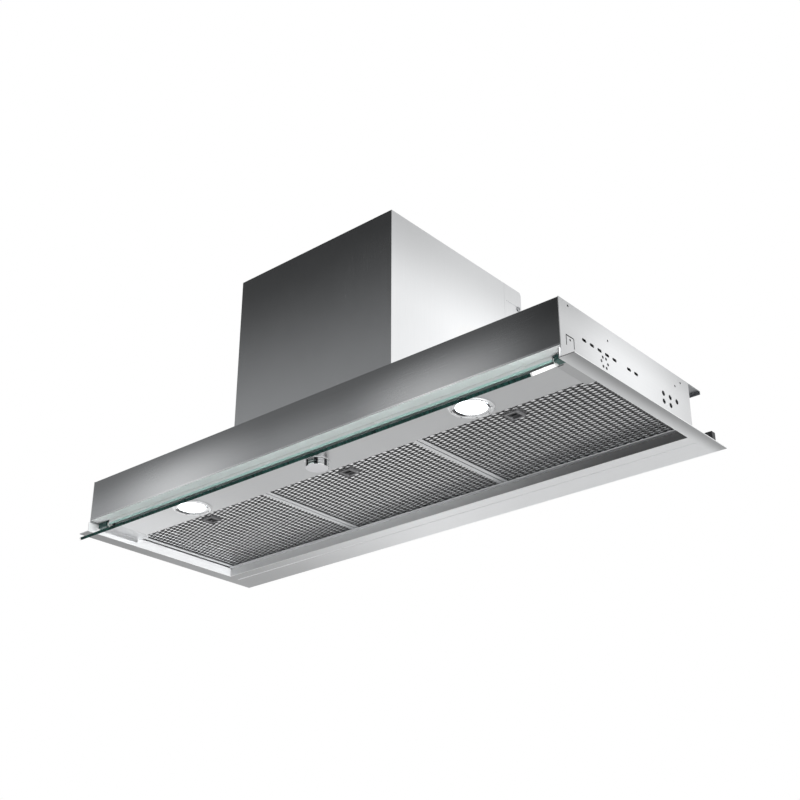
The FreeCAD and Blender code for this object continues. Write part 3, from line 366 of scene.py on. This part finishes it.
# ---------------------------------------------------------------- making pieces
def emit(name, mesh, node_names, materials):
    """Makes the object, rides it on the body of the nodes it stands for, and hides them."""
    piece = bpy.data.objects.new(name, mesh)
    bpy.context.scene.collection.objects.link(piece)
    for material in materials:
        mesh.materials.append(material)
    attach(piece, BODY_OF[node_names[0]])
    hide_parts(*node_names)
    return piece


def even_normals(piece):
    """Flat faces stay flat while the narrow rounded edges between them shade smoothly."""
    for face in piece.data.polygons:
        face.use_smooth = True
    weighted = piece.modifiers.new("normals", "WEIGHTED_NORMAL")
    weighted.keep_sharp = True
    weighted.weight = 90
    return piece


def from_bmesh(name, bm, node, *materials):
    """A piece that stands for one node, with the materials given."""
    mesh = bpy.data.meshes.new(name)
    bmesh.ops.recalc_face_normals(bm, faces=bm.faces)
    bm.to_mesh(mesh)
    bm.free()
    return emit(name, mesh, [node], materials)


def skin(node, materials, offset=0.25, segments=2, wide=None, choose=None):
    """A pressed-metal skin made from a CAD node's own faces, with its edges rounded off.
    wide holds (test, offset): edges that pass the test are bends with a larger radius."""
    bm = bmesh.new()
    bm.from_mesh(frame["nodes"][node].data)
    bmesh.ops.remove_doubles(bm, verts=bm.verts, dist=2e-6)
    bmesh.ops.dissolve_limit(bm, angle_limit=math.radians(0.6), verts=bm.verts, edges=bm.edges)

    def corners():
        return [edge for edge in bm.edges
                if len(edge.link_faces) == 2 and edge.calc_face_angle(0) > math.radians(35)]

    def bevel(edges, radius, steps):
        bmesh.ops.bevel(bm, geom=edges, offset=radius * MM, segments=steps, profile=0.5,
                        affect="EDGES", clamp_overlap=True)

    if wide:
        test, radius = wide
        bevel([edge for edge in corners() if test(edge)], radius, 4)
    bevel(corners(), offset, segments)
    piece = from_bmesh(f"{node}_skin", bm, node, *materials)
    if choose:
        for face in piece.data.polygons:
            face.material_index = choose(face)
    return even_normals(piece)


def rounded(corners, radii, steps=5):
    """A closed outline with each corner replaced by an arc of its own radius."""
    outline = []
    for index, (corner, radius) in enumerate(zip(corners, radii)):
        here = Vector(corner)
        before = (Vector(corners[index - 1]) - here).normalized()
        after = (Vector(corners[(index + 1) % len(corners)]) - here).normalized()
        half = before.angle(after) / 2
        reach = radius / math.tan(half)
        centre = here + (before + after).normalized() * radius / math.sin(half)
        start, end = here + before * reach - centre, here + after * reach - centre
        sweep = start.angle_signed(end)
        for step in range(steps + 1):
            outline.append(centre + Matrix.Rotation(-sweep * step / steps, 2) @ start)
    return outline


def extruded(name, outline, span, node, materials):
    """A prism along X from an outline of (y, z) points in millimetres."""
    bm = bmesh.new()
    ends = [[bm.verts.new((x * MM, y * MM, z * MM)) for y, z in outline] for x in span]
    bm.faces.new(ends[0])
    bm.faces.new(ends[1][::-1])
    count = len(outline)
    for index in range(count):
        following = (index + 1) % count
        bm.faces.new((ends[0][index], ends[1][index], ends[1][following], ends[0][following]))
    return even_normals(from_bmesh(name, bm, node, *materials))


def lathe(bm, profile, centre, steps=96):
    """Turns (radius, height) points in millimetres about an upright axis."""
    rings = []
    for radius, height in profile:
        if radius < 1e-6:
            rings.append([bm.verts.new((centre[0], centre[1], height * MM))])
            continue
        ring = []
        for step in range(steps):
            turn = 2 * math.pi * step / steps
            ring.append(bm.verts.new((centre[0] + radius * MM * math.cos(turn),
                                      centre[1] + radius * MM * math.sin(turn), height * MM)))
        rings.append(ring)
    for low, high in zip(rings, rings[1:]):
        for step in range(steps):
            following = (step + 1) % steps
            if len(low) == 1 and len(high) == 1:
                continue
            if len(low) == 1:
                face = (low[0], high[following], high[step])
            elif len(high) == 1:
                face = (low[step], low[following], high[0])
            else:
                face = (low[step], low[following], high[following], high[step])
            bm.faces.new(face)


def turned_ring(bm, outline, centre, steps=96):
    """Turns a closed outline that stays clear of the axis."""
    lathe(bm, outline + outline[:1], centre, steps)
    bmesh.ops.remove_doubles(bm, verts=bm.verts, dist=1e-6)


def middle_of(low, high):
    """The upright axis through a box's middle, in metres, and half the box's length along X."""
    centre = ((low[0] + high[0]) / 2 * MM, (low[1] + high[1]) / 2 * MM)
    return centre, (high[0] - low[0]) / 2


def reach_of(face, centre):
    """How far a face's middle is from an upright axis, in millimetres, and its height."""
    middle = face.calc_center_median()
    return (Vector((middle.x, middle.y)) - Vector(centre)).length / MM, middle.z / MM


def block(bm, low, high, material=0):
    """A six-sided block in millimetres, for use inside a larger mesh."""
    made = bmesh.ops.create_cube(bm, size=1)["verts"]
    for vert in made:
        vert.co = Vector([(low[i] + high[i]) / 2 * MM + vert.co[i] * (high[i] - low[i]) * MM
                          for i in range(3)])
    for face in {face for vert in made for face in vert.link_faces}:
        face.material_index = material
    return made


def size_of(node):
    """Lowest and highest corner of a CAD node in millimetres."""
    low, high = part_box(node)
    return [v / MM for v in low], [v / MM for v in high]


# ---------------------------------------------------------------- casing
def by_normal(*rules):
    """Picks a material index from a face's normal: rules hold (axis, sign, index), else 0."""
    def pick(face):
        for axis, sign, index in rules:
            if face.normal["xyz".index(axis)] * sign > 0.7:
                return index
        return 0
    return pick


def front_panel():
    low, high = size_of("front_panel")
    sheet, lip, bend = 1.0, 12.0, 2.4
    outline = rounded(
        [(low[1], low[2]), (low[1], high[2]), (lip, high[2]), (lip, high[2] - sheet),
         (low[1] + sheet, high[2] - sheet), (low[1] + sheet, low[2] + sheet),
         (high[1], low[2] + sheet), (high[1], low[2])],
        [bend, 1.4, 0.3, 0.3, 0.5, bend - sheet, 0.3, 0.3])
    piece = extruded("front_panel_skin", outline, (low[0], high[0]), "front_panel",
                     [steel_return_painted_light, steel_front_painted_shade])
    # The front face takes the shaded front steel; the bend and return take the copy painted
    # light.
    for face in piece.data.polygons:
        face.material_index = by_normal(("y", -1, 1))(face)


def casing():
    opening = size_of("filter_ledge")

    def rim(edge):
        places = [vert.co / MM for vert in edge.verts]
        inside = all(abs(p.x) < opening[1][0] + 5 and p.y < opening[1][1] + 1 for p in places)
        return inside and all(abs(p.z) < 0.05 and p.y > -2 for p in places) and \
            edge.calc_length() > 50 * MM

    joggle = size_of("bottom_frame")[1][1] - JOGGLE_IN

    def zone(face):
        """Upstand walls, pressed joggle and rolled rim each take their own copy of the steel,
        painted lighter or darker as painted light and shade.
        """
        centre, normal = face.center / MM, face.normal
        if centre.z < 1.0 and abs(centre.y - joggle) < 2.0:
            return 3
        if normal.x > 0.7 and centre.z > 1.3:
            return 2
        if normal.y < -0.7 and centre.z > 0.9:
            return 1
        return 3 if abs(normal.z) < 0.9 and centre.z < 0.9 else 0

    skin("bottom_frame", [steel_flange_painted_shade, steel_inner_painted_shade, steel_left, steel_bright], wide=(rim, 0.8),
         choose=zone)
    front_panel()
    for side, _ in SIDES:
        skin(f"side_wall_{side}", [steel_side_painted_shade], offset=0.2)
        skin(f"panel_cheek_{side}", [steel_cheek_painted_shade], offset=0.3)
        skin(f"visor_hinge_{side}", [hinge_green], offset=0.6, segments=3)
    skin("lamp_panel", [steel_panel_painted_shade], offset=0.3)
    skin("rear_rail", [steel_rail], offset=0.3)
    skin("top_plate", [zinc], offset=0.2)
    skin("rear_wall", [zinc], offset=0.2)
    skin("filter_ledge", [steel_bright], offset=0.3)
    skin("tower_front_cover", [steel_tower_side_painted_shade, steel_tower], offset=0.3,
         choose=by_normal(("y", -1, 1)))
    skin("tower_rear_cover", [steel_tower_side_painted_shade], offset=0.3)
    skin("tower_top_plate", [zinc], offset=0.2)
    skin("fixing_clips", [black], offset=0.7, segments=3)
    skin("upper_glass_strip", [strip_glass], offset=0.5, segments=3)


# ---------------------------------------------------------------- visor
def visor():
    def edge_or_face(face):
        """The pane's front and rear edges are ground; its two broad faces are clear."""
        along = face.normal @ Vector((0, math.cos(VISOR_TILT), math.sin(VISOR_TILT)))
        return 1 if abs(along) > 0.3 else 0

    skin("visor_glass", [glass, glass_edge], offset=0.5, segments=3, choose=edge_or_face)
    for side, _ in SIDES:
        skin(f"visor_end_{side}", [white], offset=0.6, segments=3)


# ---------------------------------------------------------------- lamps and knob
def lamps():
    for side, _ in SIDES:
        low, high = size_of(f"lamp_bezel_{side}")
        glass_low, glass_high = size_of(f"lamp_lens_{side}")
        centre, outer = middle_of(low, high)
        inner = (glass_high[0] - glass_low[0]) / 2
        flange = low[2] + 2.2
        bm = bmesh.new()
        ring = rounded([(inner, low[2] + 0.5), (inner + 1.2, low[2]), (outer - 1.6, low[2]),
                        (outer, flange - 0.7), (outer, flange), (inner + 1.1, flange),
                        (inner + 1.1, high[2]), (inner, high[2])],
                       [0.2, 0.5, 1.2, 0.3, 0.1, 0.1, 0.2, 0.2], 4)
        turned_ring(bm, ring, centre, 128)
        # Eight black blocks on the ring's face stand for its notches; their black is painted
        # shade.
        for step in range(8):
            turn = 2 * math.pi * (step + 0.5) / 8
            made = block(bm, (-1.4, -0.6, low[2] - 0.02), (1.4, 0.6, low[2] + 0.8), 1)
            spot = Vector((centre[0], centre[1], 0)) + Matrix.Rotation(turn, 3, "Z") @ \
                Vector((0, (inner + 1.5) * MM, 0))
            bmesh.ops.rotate(bm, verts=made, matrix=Matrix.Rotation(turn, 3, "Z"))
            bmesh.ops.translate(bm, verts=made, vec=spot)
        even_normals(from_bmesh(f"lamp_ring_{side}", bm, f"lamp_bezel_{side}", chrome, black))
        bm = bmesh.new()
        lit, crown = inner - 4.0, glass_low[2] + 0.9
        dome = [(0, crown)]
        for step in range(1, 13):
            prism = 0.12 * (step % 2) if step < 12 else 0
            dome.append((lit * step / 12, crown + 0.5 * (step / 12) ** 2 + prism))
        dome += [(lit + 0.3, crown + 0.5), (inner - 0.15, glass_low[2]),
                 (inner - 0.15, glass_high[2]), (0, glass_high[2])]
        lathe(bm, dome, centre, 96)
        for face in bm.faces:
            if reach_of(face, centre)[0] > lit:
                face.material_index = 1
        # The reflector round the lens is chrome with painted reflection: dark and light bands
        # round it.
        cone = turned_chrome(f"lamp_cone_painted_reflection_{side}", centre, 2, (0.06, 0.06, 0.065))
        even_normals(from_bmesh(f"lamp_glass_{side}", bm, f"lamp_lens_{side}", lens, cone))


def knob():
    low, high = size_of("control_knob")
    centre, radius = middle_of(low, high)
    face, back = low[2], low[2] + 9.1
    bm = bmesh.new()
    profile = [(0, face + 0.35), (radius - 3.2, face + 0.25), (radius - 2.2, face + 0.05),
               (radius - 1.2, face), (radius - 0.6, face + 0.15), (radius - 0.15, face + 0.6),
               (radius, face + 1.2), (radius, face + 4.2), (radius - 0.35, face + 4.45),
               (radius - 0.35, face + 4.85), (radius, face + 5.1), (radius, back - 0.5),
               (radius - 0.5, back), (3.0, back), (3.0, high[2]), (0, high[2])]
    lathe(bm, profile, centre, 128)
    for bm_face in bm.faces:
        reach, height = reach_of(bm_face, centre)
        if height < face + 0.6 and reach < radius - 0.9:
            bm_face.material_index = 1
    # The knob's sides are chrome with painted reflection: seven dark and light upright bands.
    sides = turned_chrome("knob_side_painted_reflection", centre, 7, (0.05, 0.05, 0.055))
    even_normals(from_bmesh("knob_turned", bm, "control_knob", sides, satin))
    low, high = size_of("switch_collar")
    outer = (high[0] - low[0]) / 2
    bm = bmesh.new()
    ring = rounded([(4.0, low[2]), (outer - 0.5, low[2]), (outer, high[2]), (4.0, high[2])],
                   [0.2, 0.5, 0.1, 0.1], 4)
    turned_ring(bm, ring, centre)
    even_normals(from_bmesh("collar_ring", bm, "switch_collar", chrome))


# ---------------------------------------------------------------- filters
def strand_row(bm, path):
    """One expanded-metal strand: a ribbon that is broad and flat at its bonds, narrow and
    steep between them. The path holds (place, width, tilt, material)."""
    rings = []
    upright = Vector((0, 0, 1))
    for index, (spot, width, tilt, _) in enumerate(path):
        ahead = path[min(index + 1, len(path) - 1)][0] - path[max(index - 1, 0)][0]
        forward = ahead.normalized()
        side = forward.cross(upright).normalized()
        lean = side * math.cos(tilt) + upright * math.sin(tilt)
        over = forward.cross(lean)
        rings.append([bm.verts.new((spot + lean * width * a + over * STRAND_THICK * b) * MM)
                      for a, b in ((-0.5, -0.5), (0.5, -0.5), (0.5, 0.5), (-0.5, 0.5))])
    for index, (ring, following) in enumerate(zip(rings, rings[1:])):
        material = max(path[index][3], path[index + 1][3])
        for corner in range(4):
            beyond = (corner + 1) % 4
            bm.faces.new((ring[corner], ring[beyond], following[beyond],
                          following[corner])).material_index = material
    bm.faces.new(rings[0][::-1]).material_index = path[0][3]
    bm.faces.new(rings[-1]).material_index = path[-1][3]


def expanded_layer(bm, low, high, level, well, bond, strand_shape, materials, shift=0.0,
                   row=MESH_ROW):
    """A sheet of diamonds between two corners, left open over the latch's well.
    bond and strand_shape hold (width, tilt); bond also holds its half length."""
    bond_width, bond_tilt, bond_half = bond
    strand_width, strand_tilt = strand_shape
    swing = row / 2
    y, parity = low[1] + swing, 0
    while y < high[1] - swing:
        path = []
        x = low[0] + shift
        turn = parity
        while x < high[0]:
            sign = 1 if turn % 2 else -1
            stops = ((x - bond_half, bond_width, bond_tilt, materials[0]),
                     (x + bond_half, bond_width, bond_tilt, materials[0]),
                     (x + bond_half * 1.5, strand_width, strand_tilt, materials[1]),
                     (x + MESH_PERIOD / 2 - bond_half * 1.5, strand_width, strand_tilt,
                      materials[1]))
            offsets = (sign * 0.72, sign * 0.72, sign * 0.45, -sign * 0.45)
            for (place, width, tilt, material), offset in zip(stops, offsets):
                if low[0] + 0.2 < place < high[0] - 0.2:
                    path.append((Vector((place, y + offset * swing, level)), width, tilt,
                                 material))
            x += MESH_PERIOD / 2
            turn += 1
        run = []
        for stop in path + [None]:
            open_here = stop is None or (well[0][0] < stop[0].x < well[1][0]
                                         and well[0][1] < stop[0].y < well[1][1])
            if not open_here:
                run.append(stop)
                continue
            if len(run) > 2:
                strand_row(bm, run)
            run = []
        y += row
        parity += 1


def filters():
    for name in FILTERS:
        skin(f"filter_frame_{name}", [aluminium], offset=0.5, segments=3)
        skin(f"latch_surround_{name}", [latch_rim], offset=0.4)
        low, high = size_of(f"filter_mesh_{name}")
        rim_low, rim_high = size_of(f"latch_surround_{name}")
        well = ((rim_low[0] + 0.5, low[1] - 5), (rim_high[0] - 0.5, rim_high[1] - 0.5))
        well_edge = ((rim_low[0] - 1, rim_low[1] - 1), (rim_high[0] + 1, rim_high[1] + 1))
        bm = bmesh.new()
        level = low[2] + 0.75
        bond, between = (3.1, -0.10, 2.8), (0.8, -1.15)
        # Each deeper layer takes a darker tone, as painted shade and shadow inside the mesh;
        # only the lowest layer's bonds are pale.
        expanded_layer(bm, low, high, level, well_edge, bond, between, (0, 1))
        expanded_layer(bm, low, high, level + 2.0, well_edge, (1.8, 0.4, 1.6), (1.0, 0.9),
                       (1, 2), 4.7)
        expanded_layer(bm, low, high, level + 4.0, well_edge, (3.0, 0.2, 2.8), (1.4, -0.8),
                       (2, 2), 1.1, 4.4)
        expanded_layer(bm, low, high, high[2] - 0.75, well, bond, between, (1, 1))
        from_bmesh(f"expanded_mesh_{name}", bm, f"filter_mesh_{name}", strand, strand_painted_shade,
                   strand_painted_shadow)
        skin(f"filter_latch_{name}", [black], offset=0.35)


# ---------------------------------------------------------------- fixings and outlet
def fixings():
    low, high = size_of("tower_screws")
    tower = size_of("tower_rear_cover")[1][0]
    heights = (low[2] + SCREW_RADIUS, high[2] - SCREW_RADIUS)
    left, right = [[(side * tower, (low[1] + high[1]) / 2, level) for level in heights]
                   for _, side in SIDES]
    screw_heads("tower_screw_heads", "tower_screws", ((right, (1, 0, 0)), (left, (-1, 0, 0))))
    low, high = size_of("rail_screws")
    step = (high[0] - low[0] - 2 * SCREW_RADIUS) / 3
    spots = [(low[0] + SCREW_RADIUS + number * step, low[1], (low[2] + high[2]) / 2)
             for number in range(4)]
    screw_heads("rail_screw_heads", "rail_screws", ((spots, (0, 1, 0)),))


def screw_heads(name, node, groups):
    """All the heads of one node in one mesh. A group holds places and the way they face."""
    bm = bmesh.new()
    radius, height = SCREW_RADIUS, SCREW_HEIGHT
    for spots, axis in groups:
        turn = Vector((0, 0, 1)).rotation_difference(Vector(axis)).to_matrix()
        for spot in spots:
            before = set(bm.verts)
            profile = [(0, 0.0), (radius, 0.0), (radius, height * 0.35)]
            for step in range(1, 6):
                angle = math.pi / 2 * step / 5
                profile.append((radius * math.cos(angle),
                                height * (0.35 + 0.6 * math.sin(angle))))
            profile[-1] = (0, height * 0.95)
            lathe(bm, profile, (0, 0), 32)
            # A black cross on each head is painted shade for its cross recess.
            for wide, deep in ((radius * 0.55, 0.35), (0.35, radius * 0.55)):
                block(bm, (-wide, -deep, height * 0.5), (wide, deep, height), 1)
            made = [vert for vert in bm.verts if vert not in before]
            bmesh.ops.rotate(bm, verts=made, matrix=turn)
            bmesh.ops.translate(bm, verts=made, vec=Vector(spot) * MM)
    even_normals(from_bmesh(name, bm, node, screw_steel, black))


def outlet():
    low, high = size_of("duct_spigot")
    centre, flange = middle_of(low, high)
    outer, wall = SPIGOT_RADIUS, SPIGOT_WALL
    base, top = low[2], high[2]
    inner, stop = outer - wall, base + SPIGOT_STOP
    bm = bmesh.new()
    profile = rounded(
        [(inner, base), (flange, base), (flange, base + wall), (outer, base + wall),
         (outer, base + 12), (outer + 0.8, base + 13.5), (outer, base + 15), (outer, top),
         (inner, top), (inner, stop), (inner - 2.5, stop), (inner - 2.5, stop - 1),
         (inner, stop - 1)],
        [0.3, 0.5, 0.5, 0.6, 0.5, 0.5, 0.5, 0.5, 0.5, 0.2, 0.3, 0.3, 0.2], 3)
    turned_ring(bm, profile, centre, 144)
    even_normals(from_bmesh("spigot_collar", bm, "duct_spigot", grey))


def gland():
    """The strain relief where a mains cable would enter: a hexagon and a fluted cap."""
    low, high = size_of("cable_gland")
    rear = size_of("tower_rear_cover")[1][1]
    radius = (high[0] - low[0]) / 2
    middle = ((low[0] + high[0]) / 2, (low[2] + high[2]) / 2)
    bm = bmesh.new()

    def section(reach, wave, count, y):
        ring = []
        for step in range(72):
            turn = 2 * math.pi * step / 72
            if count == 6:
                local = (turn + math.pi / 6) % (math.pi / 3) - math.pi / 6
                length = reach * math.cos(math.pi / 6) / math.cos(local)
            else:
                length = reach + wave * math.cos(turn * count)
            ring.append(bm.verts.new(((middle[0] + length * math.cos(turn)) * MM, y * MM,
                                      (middle[1] + length * math.sin(turn)) * MM)))
        return ring

    cap = radius - 1.6
    rings = [section(4.0, 0, 1, low[1]), section(cap - 2, 0, 1, low[1]),
             section(cap - 2, 0, 1, rear), section(radius, 0, 6, rear),
             section(radius, 0, 6, rear + 3.2), section(cap, 0.25, 18, rear + 3.4),
             section(cap, 0.25, 18, high[1] - 1.0), section(cap - 1.5, 0, 1, high[1]),
             section(4.0, 0, 1, high[1])]
    rings.append(rings[0])
    for ring, following in zip(rings, rings[1:]):
        for step in range(72):
            beyond = (step + 1) % 72
            bm.faces.new((ring[step], ring[beyond], following[beyond], following[step]))
    even_normals(from_bmesh("gland_cap", bm, "cable_gland", black))


# ---------------------------------------------------------------- studio
def camera():
    made = bpy.data.cameras.new("camera")
    made.lens, made.sensor_width = CAMERA_LENS, CAMERA_SENSOR
    made.clip_start, made.clip_end = 0.01, 50
    holder = bpy.data.objects.new("camera", made)
    turn, lift = CAMERA_TURN, CAMERA_LIFT
    ahead = Vector((-math.sin(turn) * math.cos(lift), math.cos(turn) * math.cos(lift),
                    math.sin(lift)))
    right = ahead.cross(Vector((0, 0, 1))).normalized()
    above = right.cross(ahead)
    holder.matrix_world = Matrix.Translation(CAMERA_PLACE) @ \
        Matrix((right, above, -ahead)).transposed().to_4x4()
    bpy.context.scene.collection.objects.link(holder)
    bpy.context.scene.camera = holder


def area_light(name, place, target, size, power, mirrored=True):
    made = bpy.data.lights.new(name, "AREA")
    made.shape, made.size, made.energy = "DISK", size, power
    holder = bpy.data.objects.new(name, made)
    holder.location = place
    holder.visible_camera = False
    holder.visible_glossy = mirrored
    holder.rotation_euler = (Vector(target) - Vector(place)).to_track_quat("-Z", "Y").to_euler()
    bpy.context.scene.collection.objects.link(holder)


def studio():
    """White surroundings, darker high up in front, and a floor well below the hood."""
    world = bpy.data.worlds.new("studio")
    bpy.context.scene.world = world
    world.use_nodes = True
    tree = world.node_tree
    tree.nodes.clear()

    def node(kind, **settings):
        made = tree.nodes.new(kind)
        for key, value in settings.items():
            setattr(made, key, value)
        return made

    def remap(source, low, high, to_low, to_high):
        made = node("ShaderNodeMapRange", interpolation_type="SMOOTHSTEP")
        tree.links.new(source, made.inputs["Value"])
        for socket, value in zip(("From Min", "From Max", "To Min", "To Max"),
                                 (low, high, to_low, to_high)):
            made.inputs[socket].default_value = value
        return made.outputs["Result"]

    where = node("ShaderNodeTexCoord").outputs["Generated"]
    split = node("ShaderNodeSeparateXYZ")
    tree.links.new(where, split.inputs[0])
    front = remap(split.outputs["Y"], -0.35, -0.05, 1.0, 0.0)
    front_tone = remap(split.outputs["Z"], 0.22, 0.58, 1.0, 0.22)
    side_tone = remap(split.outputs["Z"], 0.44, 0.70, 1.34, 0.86)
    blend = node("ShaderNodeMix", data_type="FLOAT")
    tree.links.new(front, blend.inputs[0])
    horizon = remap(split.outputs["Z"], 0.02, 0.30, 0.66, 1.0)
    sides = node("ShaderNodeMath", operation="MULTIPLY")
    tree.links.new(side_tone, sides.inputs[0])
    tree.links.new(horizon, sides.inputs[1])
    tree.links.new(sides.outputs[0], blend.inputs[2])
    tree.links.new(front_tone, blend.inputs[3])
    studio_light = node("ShaderNodeBackground")
    tree.links.new(blend.outputs[0], studio_light.inputs["Strength"])
    backdrop = node("ShaderNodeBackground")
    backdrop.inputs["Strength"].default_value = 1.0
    backdrop.inputs["Color"].default_value = (1, 1, 1, 1)
    seen = node("ShaderNodeLightPath").outputs["Is Camera Ray"]
    either = node("ShaderNodeMixShader")
    tree.links.new(seen, either.inputs[0])
    tree.links.new(studio_light.outputs[0], either.inputs[1])
    tree.links.new(backdrop.outputs[0], either.inputs[2])
    output = node("ShaderNodeOutputWorld")
    tree.links.new(either.outputs[0], output.inputs["Surface"])

    bm = bmesh.new()
    bmesh.ops.create_grid(bm, x_segments=24, y_segments=24, size=FLOOR_HALF)
    mesh = bpy.data.meshes.new("studio_floor")
    bm.to_mesh(mesh)
    bm.free()
    floor = bpy.data.objects.new("studio_floor", mesh)
    floor.location = (0, 0, FLOOR_LEVEL)
    bpy.context.scene.collection.objects.link(floor)
    paint = Paint("floor_paper", Roughness=0.9)
    haze = paint.noise(1.3)
    mesh.materials.append(paint.finish(paint.mix(haze, (0.80, 0.80, 0.80), (0.84, 0.84, 0.84))))
    area_light("key", (1.8, -1.2, 2.2), (0, 0.1, 0.1), 1.6, 55, mirrored=False)
    area_light("rear_low", (-2.9, 2.4, -0.9), (-0.2, 0.2, 0), 2.4, 5)
    area_light("right_low", (2.3, 0.2, -0.7), (-0.43, 0.15, 0), 1.0, 44, mirrored=False)
    view = bpy.context.scene.view_settings
    view.view_transform, view.look = "Standard", "None"


def inner_parts():
    """CAD nodes whose own shape is right keep it, and take a detailed finish."""
    finishes = {
        "blower_housing": grey, "blower_wheel": black, "motor": motor_steel,
        "motor_shaft": screw_steel, "motor_bracket": zinc, "bracket_screws": screw_steel,
        "control_box": grey, "run_capacitor": white, "lamp_driver": black,
        "rotary_switch": black, "damper_rod": screw_steel, "damper_flap_front": black,
        "damper_flap_rear": black, "lamp_can_left": motor_steel, "lamp_can_right": motor_steel,
    }
    for node, material in finishes.items():
        for socket in frame["nodes"][node].material_slots:
            socket.material = material


casing()
visor()
lamps()
knob()
filters()
fixings()
outlet()
gland()
inner_parts()
studio()
camera()
